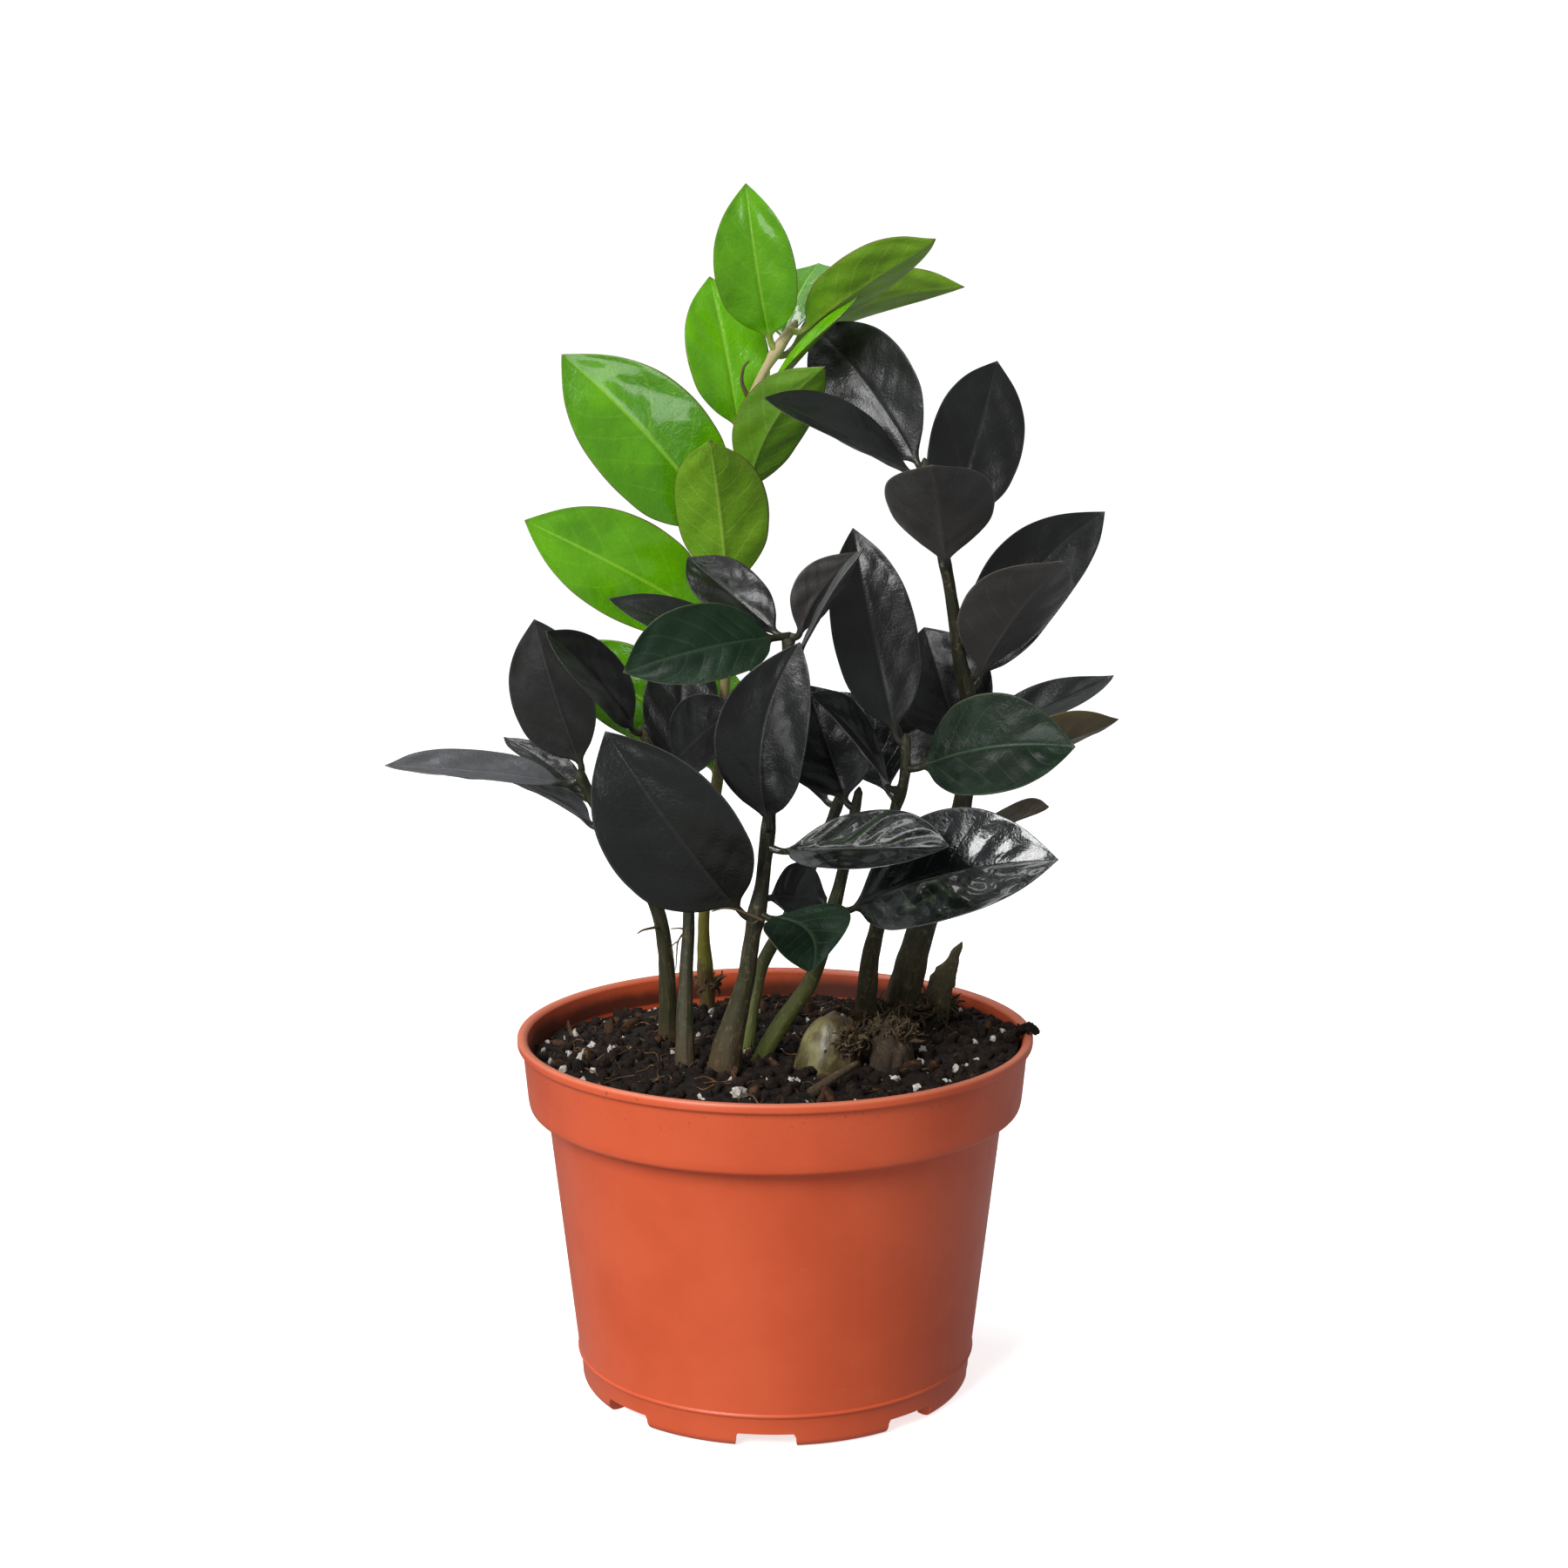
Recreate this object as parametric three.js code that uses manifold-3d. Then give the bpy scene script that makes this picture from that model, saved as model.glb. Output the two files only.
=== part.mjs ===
// A zz plant in a plastic nursery pot: eight leaf stems grow from tuberous bases in a bed of potting
// mix, seven with near-black leaflets and one with young green ones.
// Millimetres, +Z up. The origin is the centre of the circle that the pot stands on, and the plant's
// showing side faces -Y.
import * as THREE from "three";
import { mergeVertices } from "three/addons/utils/BufferGeometryUtils.js";
import Module from "manifold-3d";

const wasm = await Module();
wasm.setup();

// Driving dimensions of the pot.
const RIM_RADIUS = 76;
const POT_HEIGHT = 106;
const WALL = 1.5;
const LIP_HEIGHT = 3;
const LIP_OVERHANG = 1.6;
const COLLAR_HEIGHT = 22.5; // from the rim down to the step
const COLLAR_STEP = 5.5; // how far the body is set in below the collar
const COLLAR_TAPER = 1.6; // how much narrower the collar is at its lower edge
const BASE_RADIUS = 59; // of the body, at the top of the foot ring
const FOOT_HEIGHT = 10;
const FOOT_TAPER = 0.9; // how much narrower the foot is at the ground
const FOOT_ROUND = 3.2;
const FOOT_RING = 2.4; // width of the ring that stands on the ground
const FLOOR_HEIGHT = 4.8; // underside of the floor, inside the foot ring
const NOTCH_COUNT = 8;
const NOTCH_WIDTH = 17;
const NOTCH_HEIGHT = 4.5;
const NOTCH_TURN = THREE.MathUtils.degToRad(-2.5); // the front notch sits a little left of centre
const DRAIN_RADIUS = 4.5;
const DRAIN_CIRCLE = 44;
const ROUND_SEGMENTS = 48;
const SHOULDER_UNDERCUT = 1.5; // the collar's lower edge is rounded in two short slopes
const SHOULDER_LOW = 1.2;
const SHOULDER_HIGH = 3.5;
const LIP_BULGE = 0.6; // share of the lip's height at which it is widest
const RIM_FLAT = 1; // how far in from the lip's outside the flat top starts
const RIM_WIDTH = 2; // from the lip's outside to the inner edge of the rim
const RIM_SOFTENING = [0.3, 0.4]; // inwards and down, between the lip's side and its top
const FLOOR_CORNER = [3, 2]; // inwards and up, the slope between floor and wall
const COLLAR_INSIDE = [1, 5]; // heights above the step at which the inside widens

// The bed of potting mix.
const SOIL_LEVEL = 99; // where it meets the wall
const SOIL_MOUND = 3; // how much higher it stands around the stems
const GAP = 0.3; // clearance between pieces that touch

// Leaf blades.
const BLADE = 1.1; // thickness
const PETIOLE = 1.9; // thickness and width of the stalk
const FOLD = 15; // degrees that each half of a blade rises from the midrib
const ARCH = 0.06; // how far a blade bulges towards its upper face, as a share of its length

const COLOURS = {
  pot: 0xd4603a,
  soil: 0x2b1d15,
  dark: 0x1c1f20,
  green: 0x4f9a12,
  olive: 0x4d4420,
  stem: 0x2f3322,
  greenStem: 0x6f7a2c,
  tuber: 0x8b7b52,
  husk: 0x54402c,
};

function paint(colour, roughness) {
  return new THREE.MeshStandardMaterial({ color: colour, roughness, metalness: 0 });
}

const plant = new THREE.Group();

function addPiece(name, geometry, material) {
  const piece = new THREE.Mesh(geometry, material);
  piece.name = name;
  plant.add(piece);
}

// ---- Solids -----------------------------------------------------------------------------------

function toSolid(geometry) {
  const bare = geometry.clone();
  bare.deleteAttribute("normal");
  bare.deleteAttribute("uv");
  const merged = mergeVertices(bare, 1e-3);
  return new wasm.Manifold(
    new wasm.Mesh({
      numProp: 3,
      vertProperties: merged.attributes.position.array,
      triVerts: new Uint32Array(merged.index.array),
    }),
  );
}

function toGeometry(solid) {
  const mesh = solid.getMesh();
  const geometry = new THREE.BufferGeometry();
  geometry.setAttribute("position", new THREE.BufferAttribute(mesh.vertProperties, 3));
  geometry.setIndex(new THREE.BufferAttribute(mesh.triVerts, 1));
  geometry.computeVertexNormals();
  return geometry;
}

// A closed skin from one end point, over rings of equally many corners, to another end point.
function skin(first, rings, last) {
  const corners = rings[0].length;
  const points = [first, ...rings.flat(), last];
  const at = (ring, corner) => 1 + ring * corners + (corner % corners);
  const faces = [];
  for (let k = 0; k < corners; k++) {
    faces.push(0, at(0, k + 1), at(0, k));
    faces.push(points.length - 1, at(rings.length - 1, k), at(rings.length - 1, k + 1));
    for (let ring = 0; ring < rings.length - 1; ring++) {
      faces.push(at(ring, k), at(ring, k + 1), at(ring + 1, k + 1));
      faces.push(at(ring, k), at(ring + 1, k + 1), at(ring + 1, k));
    }
  }
  const geometry = new THREE.BufferGeometry().setFromPoints(points);
  geometry.setIndex(faces);
  geometry.computeVertexNormals();
  return geometry;
}

// Reads a list of [place, value] pairs at any place, with straight lines between them.
function lookUp(pairs, place) {
  const next = pairs.findIndex(([p]) => p >= place);
  if (next === 0) return pairs[0][1];
  if (next < 0) return pairs[pairs.length - 1][1];
  const [[p0, v0], [p1, v1]] = [pairs[next - 1], pairs[next]];
  return v0 + ((v1 - v0) * (place - p0)) / (p1 - p0);
}

// ---- Pot --------------------------------------------------------------------------------------

// The pot's outside from the ground up, as [radius, height] points.
function potOutside() {
  const bodyTop = POT_HEIGHT - COLLAR_HEIGHT;
  const collarBottom = RIM_RADIUS - LIP_OVERHANG - COLLAR_TAPER;
  const points = [];
  for (let step = 0; step <= 3; step++) {
    const turn = (step / 3) * (Math.PI / 2);
    points.push([
      BASE_RADIUS - FOOT_TAPER - FOOT_ROUND * (1 - Math.sin(turn)),
      FOOT_ROUND * (1 - Math.cos(turn)),
    ]);
  }
  points.push([BASE_RADIUS, FOOT_HEIGHT]);
  points.push([collarBottom - COLLAR_STEP, bodyTop]);
  points.push([collarBottom - SHOULDER_UNDERCUT, bodyTop + SHOULDER_LOW]);
  points.push([collarBottom, bodyTop + SHOULDER_HIGH]);
  points.push([RIM_RADIUS - LIP_OVERHANG, POT_HEIGHT - LIP_HEIGHT]);
  points.push([RIM_RADIUS, POT_HEIGHT - LIP_HEIGHT * LIP_BULGE]);
  points.push([RIM_RADIUS - RIM_SOFTENING[0], POT_HEIGHT - RIM_SOFTENING[1]]);
  points.push([RIM_RADIUS - RIM_FLAT, POT_HEIGHT]);
  return points;
}

// The pot's inside from the floor up, as [radius, height] points.
function potInside() {
  const bodyTop = POT_HEIGHT - COLLAR_HEIGHT;
  const collar = RIM_RADIUS - LIP_OVERHANG - COLLAR_TAPER - WALL;
  return [
    [0, FLOOR_HEIGHT + WALL],
    [BASE_RADIUS - FLOOR_CORNER[0] - WALL, FLOOR_HEIGHT + WALL],
    [BASE_RADIUS - WALL, FOOT_HEIGHT + FLOOR_CORNER[1]],
    [collar - COLLAR_STEP, bodyTop + COLLAR_INSIDE[0]],
    [collar, bodyTop + COLLAR_INSIDE[1]],
    [RIM_RADIUS - LIP_OVERHANG - WALL, POT_HEIGHT - RIM_FLAT],
    [RIM_RADIUS - RIM_WIDTH, POT_HEIGHT],
  ];
}

function lathe(points) {
  const profile = points.map(([radius, height]) => new THREE.Vector2(radius, height));
  return new THREE.LatheGeometry(profile, ROUND_SEGMENTS).rotateX(Math.PI / 2);
}

function makePot() {
  const footInside = BASE_RADIUS - FOOT_TAPER - FOOT_ROUND - FOOT_RING;
  const through = 16; // longer than the foot ring is deep
  let pot = toSolid(
    lathe([
      [0, FLOOR_HEIGHT],
      [footInside, FLOOR_HEIGHT],
      [footInside, 0],
      ...potOutside(),
      ...potInside().reverse(),
    ]),
  );
  for (let n = 0; n < NOTCH_COUNT; n++) {
    const turn = NOTCH_TURN + (n * 2 * Math.PI) / NOTCH_COUNT;
    const notch = new THREE.BoxGeometry(NOTCH_WIDTH, through, 2 * NOTCH_HEIGHT)
      .translate(0, -BASE_RADIUS + 3, 0)
      .rotateZ(turn);
    pot = pot.subtract(toSolid(notch));
    const drain = new THREE.CylinderGeometry(DRAIN_RADIUS, DRAIN_RADIUS, 4 * WALL, 16)
      .rotateX(Math.PI / 2)
      .translate(0, -DRAIN_CIRCLE, FLOOR_HEIGHT + WALL / 2)
      .rotateZ(turn);
    pot = pot.subtract(toSolid(drain));
  }
  return toGeometry(pot);
}

// ---- Stems, tubers and potting mix --------------------------------------------------------------

// Each stem's line from inside the soil to its top, and its radius at heights along it.
const STEMS = {
  green: {
    line: [[-22, 42, 80], [-21, 40, 100], [-22, 33, 130], [-19, 26, 159], [-17, 22, 181], [-15, 19, 205],
      [-13, 17, 229], [-11, 15, 254], [-8, 13, 280], [-5, 12, 295], [0, 11, 303], [6, 11, 312]],
    radii: [[80, 4], [100, 2.4], [112, 2.2], [118, 2.8], [124, 1.8], [159, 1.6], [312, 1.2]],
  },
  left: {
    line: [[-31, 9, 80], [-32, 8, 98], [-32, 6, 118], [-33, 4, 133], [-36, 2, 146], [-43, 0, 158],
      [-50, -2, 170], [-57, -4, 184]],
    radii: [[80, 4.5], [98, 2.9], [133, 2.2], [184, 1.3]],
  },
  centre_left: {
    line: [[-27, -22, 80], [-26, -22, 98], [-26, -16, 119], [-25, -9, 143], [-26, -4, 160], [-30, 0, 178],
      [-39, 1, 196]],
    radii: [[80, 4.4], [98, 3.2], [119, 2.2], [143, 1.7], [196, 1.3]],
  },
  front: {
    line: [[-16, -28, 80], [-15, -28, 98], [-13, -27, 111], [-9, -28, 124], [-7, -30, 138], [-5, -32, 148],
      [-3, -33, 161], [-2, -34, 172], [0, -32, 190], [2, -29, 209], [4, -26, 226]],
    radii: [[80, 5.5], [98, 4.7], [111, 4.3], [122, 2.7], [148, 2.1], [226, 1.2]],
  },
  back: {
    line: [[-10, -9, 80], [-9, -9, 98], [-7, -5, 111], [-5, 0, 123], [1, 6, 133], [9, 12, 149],
      [18, 16, 169], [25, 18, 190]],
    radii: [[80, 3.4], [98, 2.3], [133, 1.9], [190, 1.3]],
  },
  low: {
    line: [[-8, -19, 80], [-6, -18, 99], [0, -17, 108], [5, -17, 118], [11, -20, 127], [15, -25, 142],
      [18, -27, 154], [21, -22, 167], [24, -15, 181]],
    radii: [[80, 3.2], [99, 2.4], [118, 2.6], [127, 2.3], [154, 1.8], [181, 1.2]],
  },
  middle: {
    line: [[25, 5, 80], [26, 5, 101], [27, 3, 114], [28, 0, 128], [30, -3, 138], [31, -9, 156],
      [34, -15, 174], [37, -20, 187], [37, -19, 197]],
    radii: [[80, 4.8], [101, 3.6], [114, 3.2], [138, 2.3], [156, 1.7], [197, 1.2]],
  },
  tall: {
    line: [[34, 17, 80], [36, 16, 100], [40, 15, 119], [44, 13, 135], [51, 12, 154], [55, 10, 171],
      [57, 7, 189], [56, 3, 205], [53, -2, 217], [51, -5, 231], [48, -8, 246], [45, -10, 259],
      [42, -11, 274]],
    radii: [[80, 6.2], [100, 5.6], [119, 5], [135, 4], [154, 3.3], [171, 2.9], [205, 2.2], [274, 1.2]],
  },
};

const STEM_SIDES = 8;
const STEM_STEP = 12; // about this far from one ring to the next

for (const stem of Object.values(STEMS)) {
  stem.curve = new THREE.CatmullRomCurve3(stem.line.map((p) => new THREE.Vector3(...p)));
}

// A round bar along a stem's curve, with domed ends; grow widens it all over.
function stemGeometry({ curve, radii }, grow = 0) {
  const steps = Math.round(curve.getLength() / STEM_STEP);
  const { normals, binormals } = curve.computeFrenetFrames(steps);
  const rings = curve.getSpacedPoints(steps).map((centre, i) => {
    const radius = lookUp(radii, centre.z) + grow;
    return Array.from({ length: STEM_SIDES }, (_, k) => {
      const turn = (k / STEM_SIDES) * 2 * Math.PI;
      return centre
        .clone()
        .addScaledVector(normals[i], radius * Math.cos(turn))
        .addScaledVector(binormals[i], radius * Math.sin(turn));
    });
  });
  const dome = (place, sign) => {
    const end = curve.getPointAt(place);
    return end.addScaledVector(curve.getTangentAt(place), sign * (lookUp(radii, end.z) * 0.4 + grow));
  };
  return skin(dome(0, -1), rings, dome(1, 1));
}

// Tubers and old stem bases that stand partly out of the soil: a squashed ball, leaning over.
const MOUNDS = {
  tuber: { centre: [15, -23, 101], radii: [9.5, 8, 17], lean: [-6, 10] },
  old_stem_base: { centre: [34, -24, 100], radii: [6.5, 7, 15], lean: [-4, -6] },
};

function moundGeometry({ centre, radii, lean }, grow = 0) {
  return new THREE.IcosahedronGeometry(1, 2)
    .scale(...radii.map((radius) => radius + grow))
    .rotateX(THREE.MathUtils.degToRad(lean[0]))
    .rotateY(THREE.MathUtils.degToRad(lean[1]))
    .translate(...centre);
}

// A stem that was cut and dried to a point.
const STUB = {
  curve: new THREE.CatmullRomCurve3([
    new THREE.Vector3(46, 23, 84),
    new THREE.Vector3(47, 20, 100),
    new THREE.Vector3(50, 19, 114),
    new THREE.Vector3(56, 18, 128),
  ]),
  radii: [[84, 4.2], [100, 4.6], [112, 4.4], [122, 2.6], [128, 0.6]],
};

// The level of the mix: mounded round the stems, and a little higher at the right.
function soilHeight(x, y) {
  const reach = Math.min(1, Math.hypot(x, y) / (RIM_RADIUS - 6));
  const mound = SOIL_MOUND * (1 - reach * reach);
  const slope = 0.012 * x;
  const ripple = 0.7 * Math.sin(x / 9 + 1) * Math.cos(y / 11);
  return SOIL_LEVEL + mound + slope + ripple;
}

function makeSoil() {
  const wall = potInside().map(([radius, height]) => [Math.max(0, radius - GAP), height]);
  wall[0][1] += GAP;
  wall[1][1] += GAP;
  const top = lookUp(wall.slice(2).map(([radius, height]) => [height, radius]), SOIL_LEVEL);
  const side = wall.filter(([, height]) => height < SOIL_LEVEL - 2);
  const surface = [1, 0.85, 0.65, 0.4, 0.2, 0].map((share) => [top * share, SOIL_LEVEL]);
  const bed = mergeVertices(lathe([...side, ...surface]), 1e-3);
  const place = bed.attributes.position;
  for (let i = 0; i < place.count; i++) {
    if (place.getZ(i) > SOIL_LEVEL - 0.01) {
      place.setZ(i, soilHeight(place.getX(i), place.getY(i)));
    }
  }
  let soil = toSolid(bed);
  for (const stem of [...Object.values(STEMS), STUB]) {
    soil = soil.subtract(toSolid(stemGeometry(stem, GAP)));
  }
  for (const mound of Object.values(MOUNDS)) {
    soil = soil.subtract(toSolid(moundGeometry(mound, GAP)));
  }
  return toGeometry(soil);
}

// ---- Leaflets -----------------------------------------------------------------------------------

// A leaflet grows from its stem at a height, reaches to its tip and turns its upper side to face.
// Some have their own fold or arch, and some bend sideways by a sweep. Lengths are in mm.
const LEAFLETS = {
  green: [
    { height: 304, tip: [-8, -8, 350], width: 23, face: [-0.2, -1, 0.1] },
    { height: 279, tip: [-19, 24, 325], width: 24, face: [0.25, -1, 0.2], fold: 8 },
    { height: 310, tip: [45, -4, 335], width: 23, face: [-0.25, 0.6, 0.75], arch: 0.03 },
    { height: 303, tip: [56, 38, 322], width: 20, face: [-0.1, 0.65, 0.75], arch: 0.12 },
    { height: 306, tip: [13, 48, 329], width: 20, face: [-0.3, -0.6, 0.7] },
    { height: 290, tip: [23, -6, 319], width: 12, face: [-0.65, -0.2, 0.7], arch: 0.02 },
    { height: 262, tip: [14, -11, 300], width: 20, face: [-0.1, 0.9, 0.1], sweep: -4 },
    { height: 250, tip: [-61, 8, 303], width: 34, face: [-0.3, -1, 0.35], sweep: -3 },
    { height: 232, tip: [-18, -17, 280], width: 27, face: [0.1, 1, 0.35] },
    { height: 224, tip: [-72, 4, 256], width: 30, face: [-0.2, -1, 0.5] },
    { height: 188, tip: [-65, 34, 215], width: 25, face: [-0.2, -0.9, 0.4] },
    { height: 176, tip: [-20, 44, 211], width: 22, face: [0, -0.7, 0.4] },
  ],
  tall: [
    { height: 271, tip: [11, 18, 311], width: 29, face: [-0.4, -1, 0.1], fold: 8, sweep: -3 },
    { height: 270, tip: [-3, -30, 292], width: 25, face: [0.2, -0.45, 0.85], arch: 0.03 },
    { height: 252, tip: [64, 14, 301], width: 27, face: [0.25, -1, 0.3], fold: 8 },
    { height: 245, tip: [42, -50, 275], width: 30, face: [0.05, 0.6, 0.8] },
    { height: 206, tip: [97, 23, 257], width: 25, face: [0.1, -0.8, 0.5], sweep: 6 },
    { height: 211, tip: [80, -24, 247], width: 30, face: [-0.35, 0.85, 0.4] },
    { height: 188, tip: [44, 22, 223], width: 29, face: [-0.1, -1, 0.3] },
    { height: 192, tip: [101, 26, 208], width: 20, face: [0.05, -0.2, 1], arch: 0 },
    { height: 183, tip: [101, 12, 197], width: 24, face: [-0.1, 0.55, 0.8], arch: 0 },
    { height: 163, tip: [82, 22, 169], width: 20, face: [0, 0.5, 0.85], arch: 0 },
  ],
  middle: [
    { height: 195, tip: [22, -10, 255], width: 24, face: [0.15, -1, 0.1], sweep: 1 },
    { height: 181, tip: [10, -38, 212], width: 20, face: [0.35, -0.45, 0.8] },
    { height: 178, tip: [12, 13, 205], width: 26, face: [0.1, -0.5, 0.85] },
    { height: 188, tip: [83, -38, 197], width: 29, face: [0.05, -0.9, 0.45], sweep: 2.5 },
  ],
  low: [
    { height: 149, tip: [77, -56, 169], width: 35, face: [0.05, -0.75, 0.65], sweep: 2 },
    { height: 176, tip: [9, -8, 210], width: 27, face: [0.1, -1, 0.2] },
  ],
  front: [
    { height: 173, tip: [7, -45, 227], width: 25, face: [-0.1, -1, 0.15], sweep: 6 },
    { height: 168, tip: [47, -62, 174], width: 26, face: [0, -0.5, 0.85], arch: 0 },
    { height: 147, tip: [-46, -48, 203], width: 38, face: [-0.3, -1, 0.1] },
    { height: 149, tip: [10, -50, 136], width: 25, face: [0.3, -0.8, 0.5], sweep: 7 },
    { height: 153, tip: [15, -14, 149], width: 19, face: [0, -0.9, 0.4] },
    { height: 219, tip: [24, -46, 253], width: 13, face: [-0.85, -0.05, 0.5], fold: 8, arch: 0.02 },
    { height: 226, tip: [23, -29, 250], width: 14, face: [-0.3, 0.9, 0.4], arch: 0.01, sweep: -3 },
    { height: 226, tip: [-41, -48, 219], width: 26, face: [-0.1, -0.8, 0.6] },
    { height: 214, tip: [-46, -29, 237], width: 18, face: [0, -0.5, 0.85] },
    { height: 226, tip: [-25, -2, 246], width: 17, face: [-0.1, -0.7, 0.7], sweep: 1 },
  ],
  centre_left: [
    { height: 180, tip: [-27, 24, 218], width: 22, face: [0.1, -1, 0.3], fold: 8 },
    { height: 184, tip: [-10, -14, 205], width: 22, face: [0, -0.8, 0.6] },
    { height: 195, tip: [-65, -12, 226], width: 22, face: [0.7, -0.5, 0.5] },
  ],
  left: [
    { height: 183, tip: [-70, 8, 227], width: 25, face: [-0.3, -0.95, 0.1] },
    { height: 182, tip: [-111, -16, 188], width: 20, face: [-0.05, -0.3, 0.95], arch: 0.02 },
    { height: 168, tip: [-89, 8, 183], width: 22, face: [0, 0.1, 1] },
    { height: 176, tip: [-81, 22, 190], width: 11, face: [0, -0.3, 0.95] },
  ],
  back: [
    { height: 184, tip: [56, 34, 197], width: 26, face: [0, -0.8, 0.6] },
    { height: 170, tip: [-12, 56, 190], width: 26, face: [0.2, -0.2, 0.95] },
  ],
};

// A blade's half-width along its length, as shares of its length and of its widest half-width.
const OUTLINE = [[0.03, 0.07], [0.07, 0.1], [0.15, 0.48], [0.27, 0.84], [0.42, 0.99], [0.57, 1],
  [0.74, 0.84], [0.87, 0.53], [0.96, 0.18]];

// The stem's line at a height.
function stemAt({ curve }, height) {
  let [low, high] = [0, 1];
  for (let i = 0; i < 30; i++) {
    const middle = (low + high) / 2;
    if (curve.getPointAt(middle).z < height) low = middle;
    else high = middle;
  }
  return { point: curve.getPointAt(low), along: curve.getTangentAt(low) };
}

function leafletGeometry(stem, leaflet) {
  const { height, width, fold = FOLD, arch = ARCH, sweep = 0 } = leaflet;
  const tip = new THREE.Vector3(...leaflet.tip);
  const { point, along } = stemAt(stem, height);
  const outward = tip.clone().sub(point);
  outward.addScaledVector(along, -outward.dot(along)).normalize();
  const base = point.addScaledVector(outward, lookUp(stem.radii, height) + GAP + PETIOLE / 2);

  const length = tip.distanceTo(base);
  const ahead = tip.clone().sub(base).normalize();
  const across = new THREE.Vector3(...leaflet.face).cross(ahead).normalize();
  const up = ahead.clone().cross(across);
  const rise = Math.tan(THREE.MathUtils.degToRad(fold));

  const rings = OUTLINE.map(([place, share]) => {
    const half = Math.max((share * width) / 2, PETIOLE / 2);
    const thick = place < 0.1 ? PETIOLE : BLADE * (place > 0.9 ? 0.7 : 1);
    const bow = 4 * place * (1 - place);
    const corner = (side, drop) =>
      base
        .clone()
        .addScaledVector(ahead, place * length)
        .addScaledVector(across, side * half + sweep * bow)
        .addScaledVector(up, Math.abs(side) * half * rise + arch * length * bow - drop);
    return [corner(-1, 0), corner(-1, thick), corner(0, thick), corner(1, thick), corner(1, 0), corner(0, 0)];
  });
  return skin(base, rings, tip);
}

// ---- The plant ----------------------------------------------------------------------------------

// Leaflets whose backs are tinged with olive brown.
const OLIVE = new Set(["leaf_tall_9", "leaf_tall_10"]);

addPiece("pot", makePot(), paint(COLOURS.pot, 0.45));
addPiece("soil", makeSoil(), paint(COLOURS.soil, 0.95));
for (const [name, mound] of Object.entries(MOUNDS)) {
  const colour = name === "tuber" ? COLOURS.tuber : COLOURS.husk;
  addPiece(name, moundGeometry(mound), paint(colour, 0.6));
}
addPiece("dry_stub", stemGeometry(STUB), paint(COLOURS.husk, 0.8));

for (const [name, stem] of Object.entries(STEMS)) {
  const isGreen = name === "green";
  addPiece(`stem_${name}`, stemGeometry(stem), paint(isGreen ? COLOURS.greenStem : COLOURS.stem, 0.55));
  (LEAFLETS[name] ?? []).forEach((leaflet, i) => {
    const leafName = `leaf_${name}_${i + 1}`;
    const colour = isGreen ? COLOURS.green : OLIVE.has(leafName) ? COLOURS.olive : COLOURS.dark;
    addPiece(leafName, leafletGeometry(stem, leaflet), paint(colour, 0.3));
  });
}

export default plant;
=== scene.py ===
import math
import random

import bpy
import numpy as np
from mathutils import Euler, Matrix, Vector, noise
from mathutils.bvhtree import BVHTree


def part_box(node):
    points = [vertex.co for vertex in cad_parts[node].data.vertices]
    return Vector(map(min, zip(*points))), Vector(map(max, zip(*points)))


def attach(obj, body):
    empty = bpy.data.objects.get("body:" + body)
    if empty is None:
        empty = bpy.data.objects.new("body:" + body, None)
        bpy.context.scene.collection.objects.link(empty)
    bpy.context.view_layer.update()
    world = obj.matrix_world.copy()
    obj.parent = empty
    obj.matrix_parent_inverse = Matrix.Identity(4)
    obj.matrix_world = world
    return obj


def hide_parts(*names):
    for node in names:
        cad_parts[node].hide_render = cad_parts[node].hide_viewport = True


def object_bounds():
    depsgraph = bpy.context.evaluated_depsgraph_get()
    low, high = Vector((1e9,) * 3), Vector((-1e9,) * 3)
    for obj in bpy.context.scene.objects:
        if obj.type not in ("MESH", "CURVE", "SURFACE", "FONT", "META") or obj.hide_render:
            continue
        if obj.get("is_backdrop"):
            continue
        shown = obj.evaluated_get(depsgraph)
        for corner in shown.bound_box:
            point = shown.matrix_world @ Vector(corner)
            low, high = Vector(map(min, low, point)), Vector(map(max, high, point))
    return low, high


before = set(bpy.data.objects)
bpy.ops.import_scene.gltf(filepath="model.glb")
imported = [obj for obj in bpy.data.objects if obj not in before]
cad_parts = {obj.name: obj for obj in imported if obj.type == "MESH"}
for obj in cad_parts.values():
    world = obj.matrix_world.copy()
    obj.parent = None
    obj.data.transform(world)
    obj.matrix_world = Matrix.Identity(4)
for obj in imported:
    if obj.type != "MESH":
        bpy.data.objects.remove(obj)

cad_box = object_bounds()

MM = 0.001

# The pot's section, as the solid has it.
RIM_RADIUS = (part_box("pot")[1].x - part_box("pot")[0].x) / 2 / MM
POT_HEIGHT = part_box("pot")[1].z / MM
WALL = 1.5
LIP_OVERHANG = 1.6
COLLAR_RADIUS = RIM_RADIUS - 3.2  # at its lower edge
COLLAR_HEIGHT = 22.5
COLLAR_STEP = 5.5
BASE_RADIUS = 59
FOOT_TAPER = 0.9
FOOT_HEIGHT = 10
FLOOR_HEIGHT = 4.8
NOTCH_COUNT = 8
NOTCH_WIDTH = 17
NOTCH_TURN = math.radians(-2.5)
DRAIN_RADIUS = 4.5
DRAIN_CIRCLE = 44

# The bed of potting mix.
SOIL_RADIUS = 71.7
SOIL_LEVEL = 99
SOIL_MOUND = 3

# Leaf blades.
BLADE = 0.8  # thickness at the midrib
STALK = 0.95  # radius of a leaflet's stalk
VEINS = 7  # side veins on each half of a blade
VEIN_LEAN = 0.26  # how far a side vein runs towards the tip on its way to the margin
VEIN_CURVE = 1.3
VEIN_WARP = 0.28  # how unevenly the side veins are spaced


# ---- Meshes ----------------------------------------------------------------------------------


def unit(vector):
    return vector / np.linalg.norm(vector)


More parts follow.
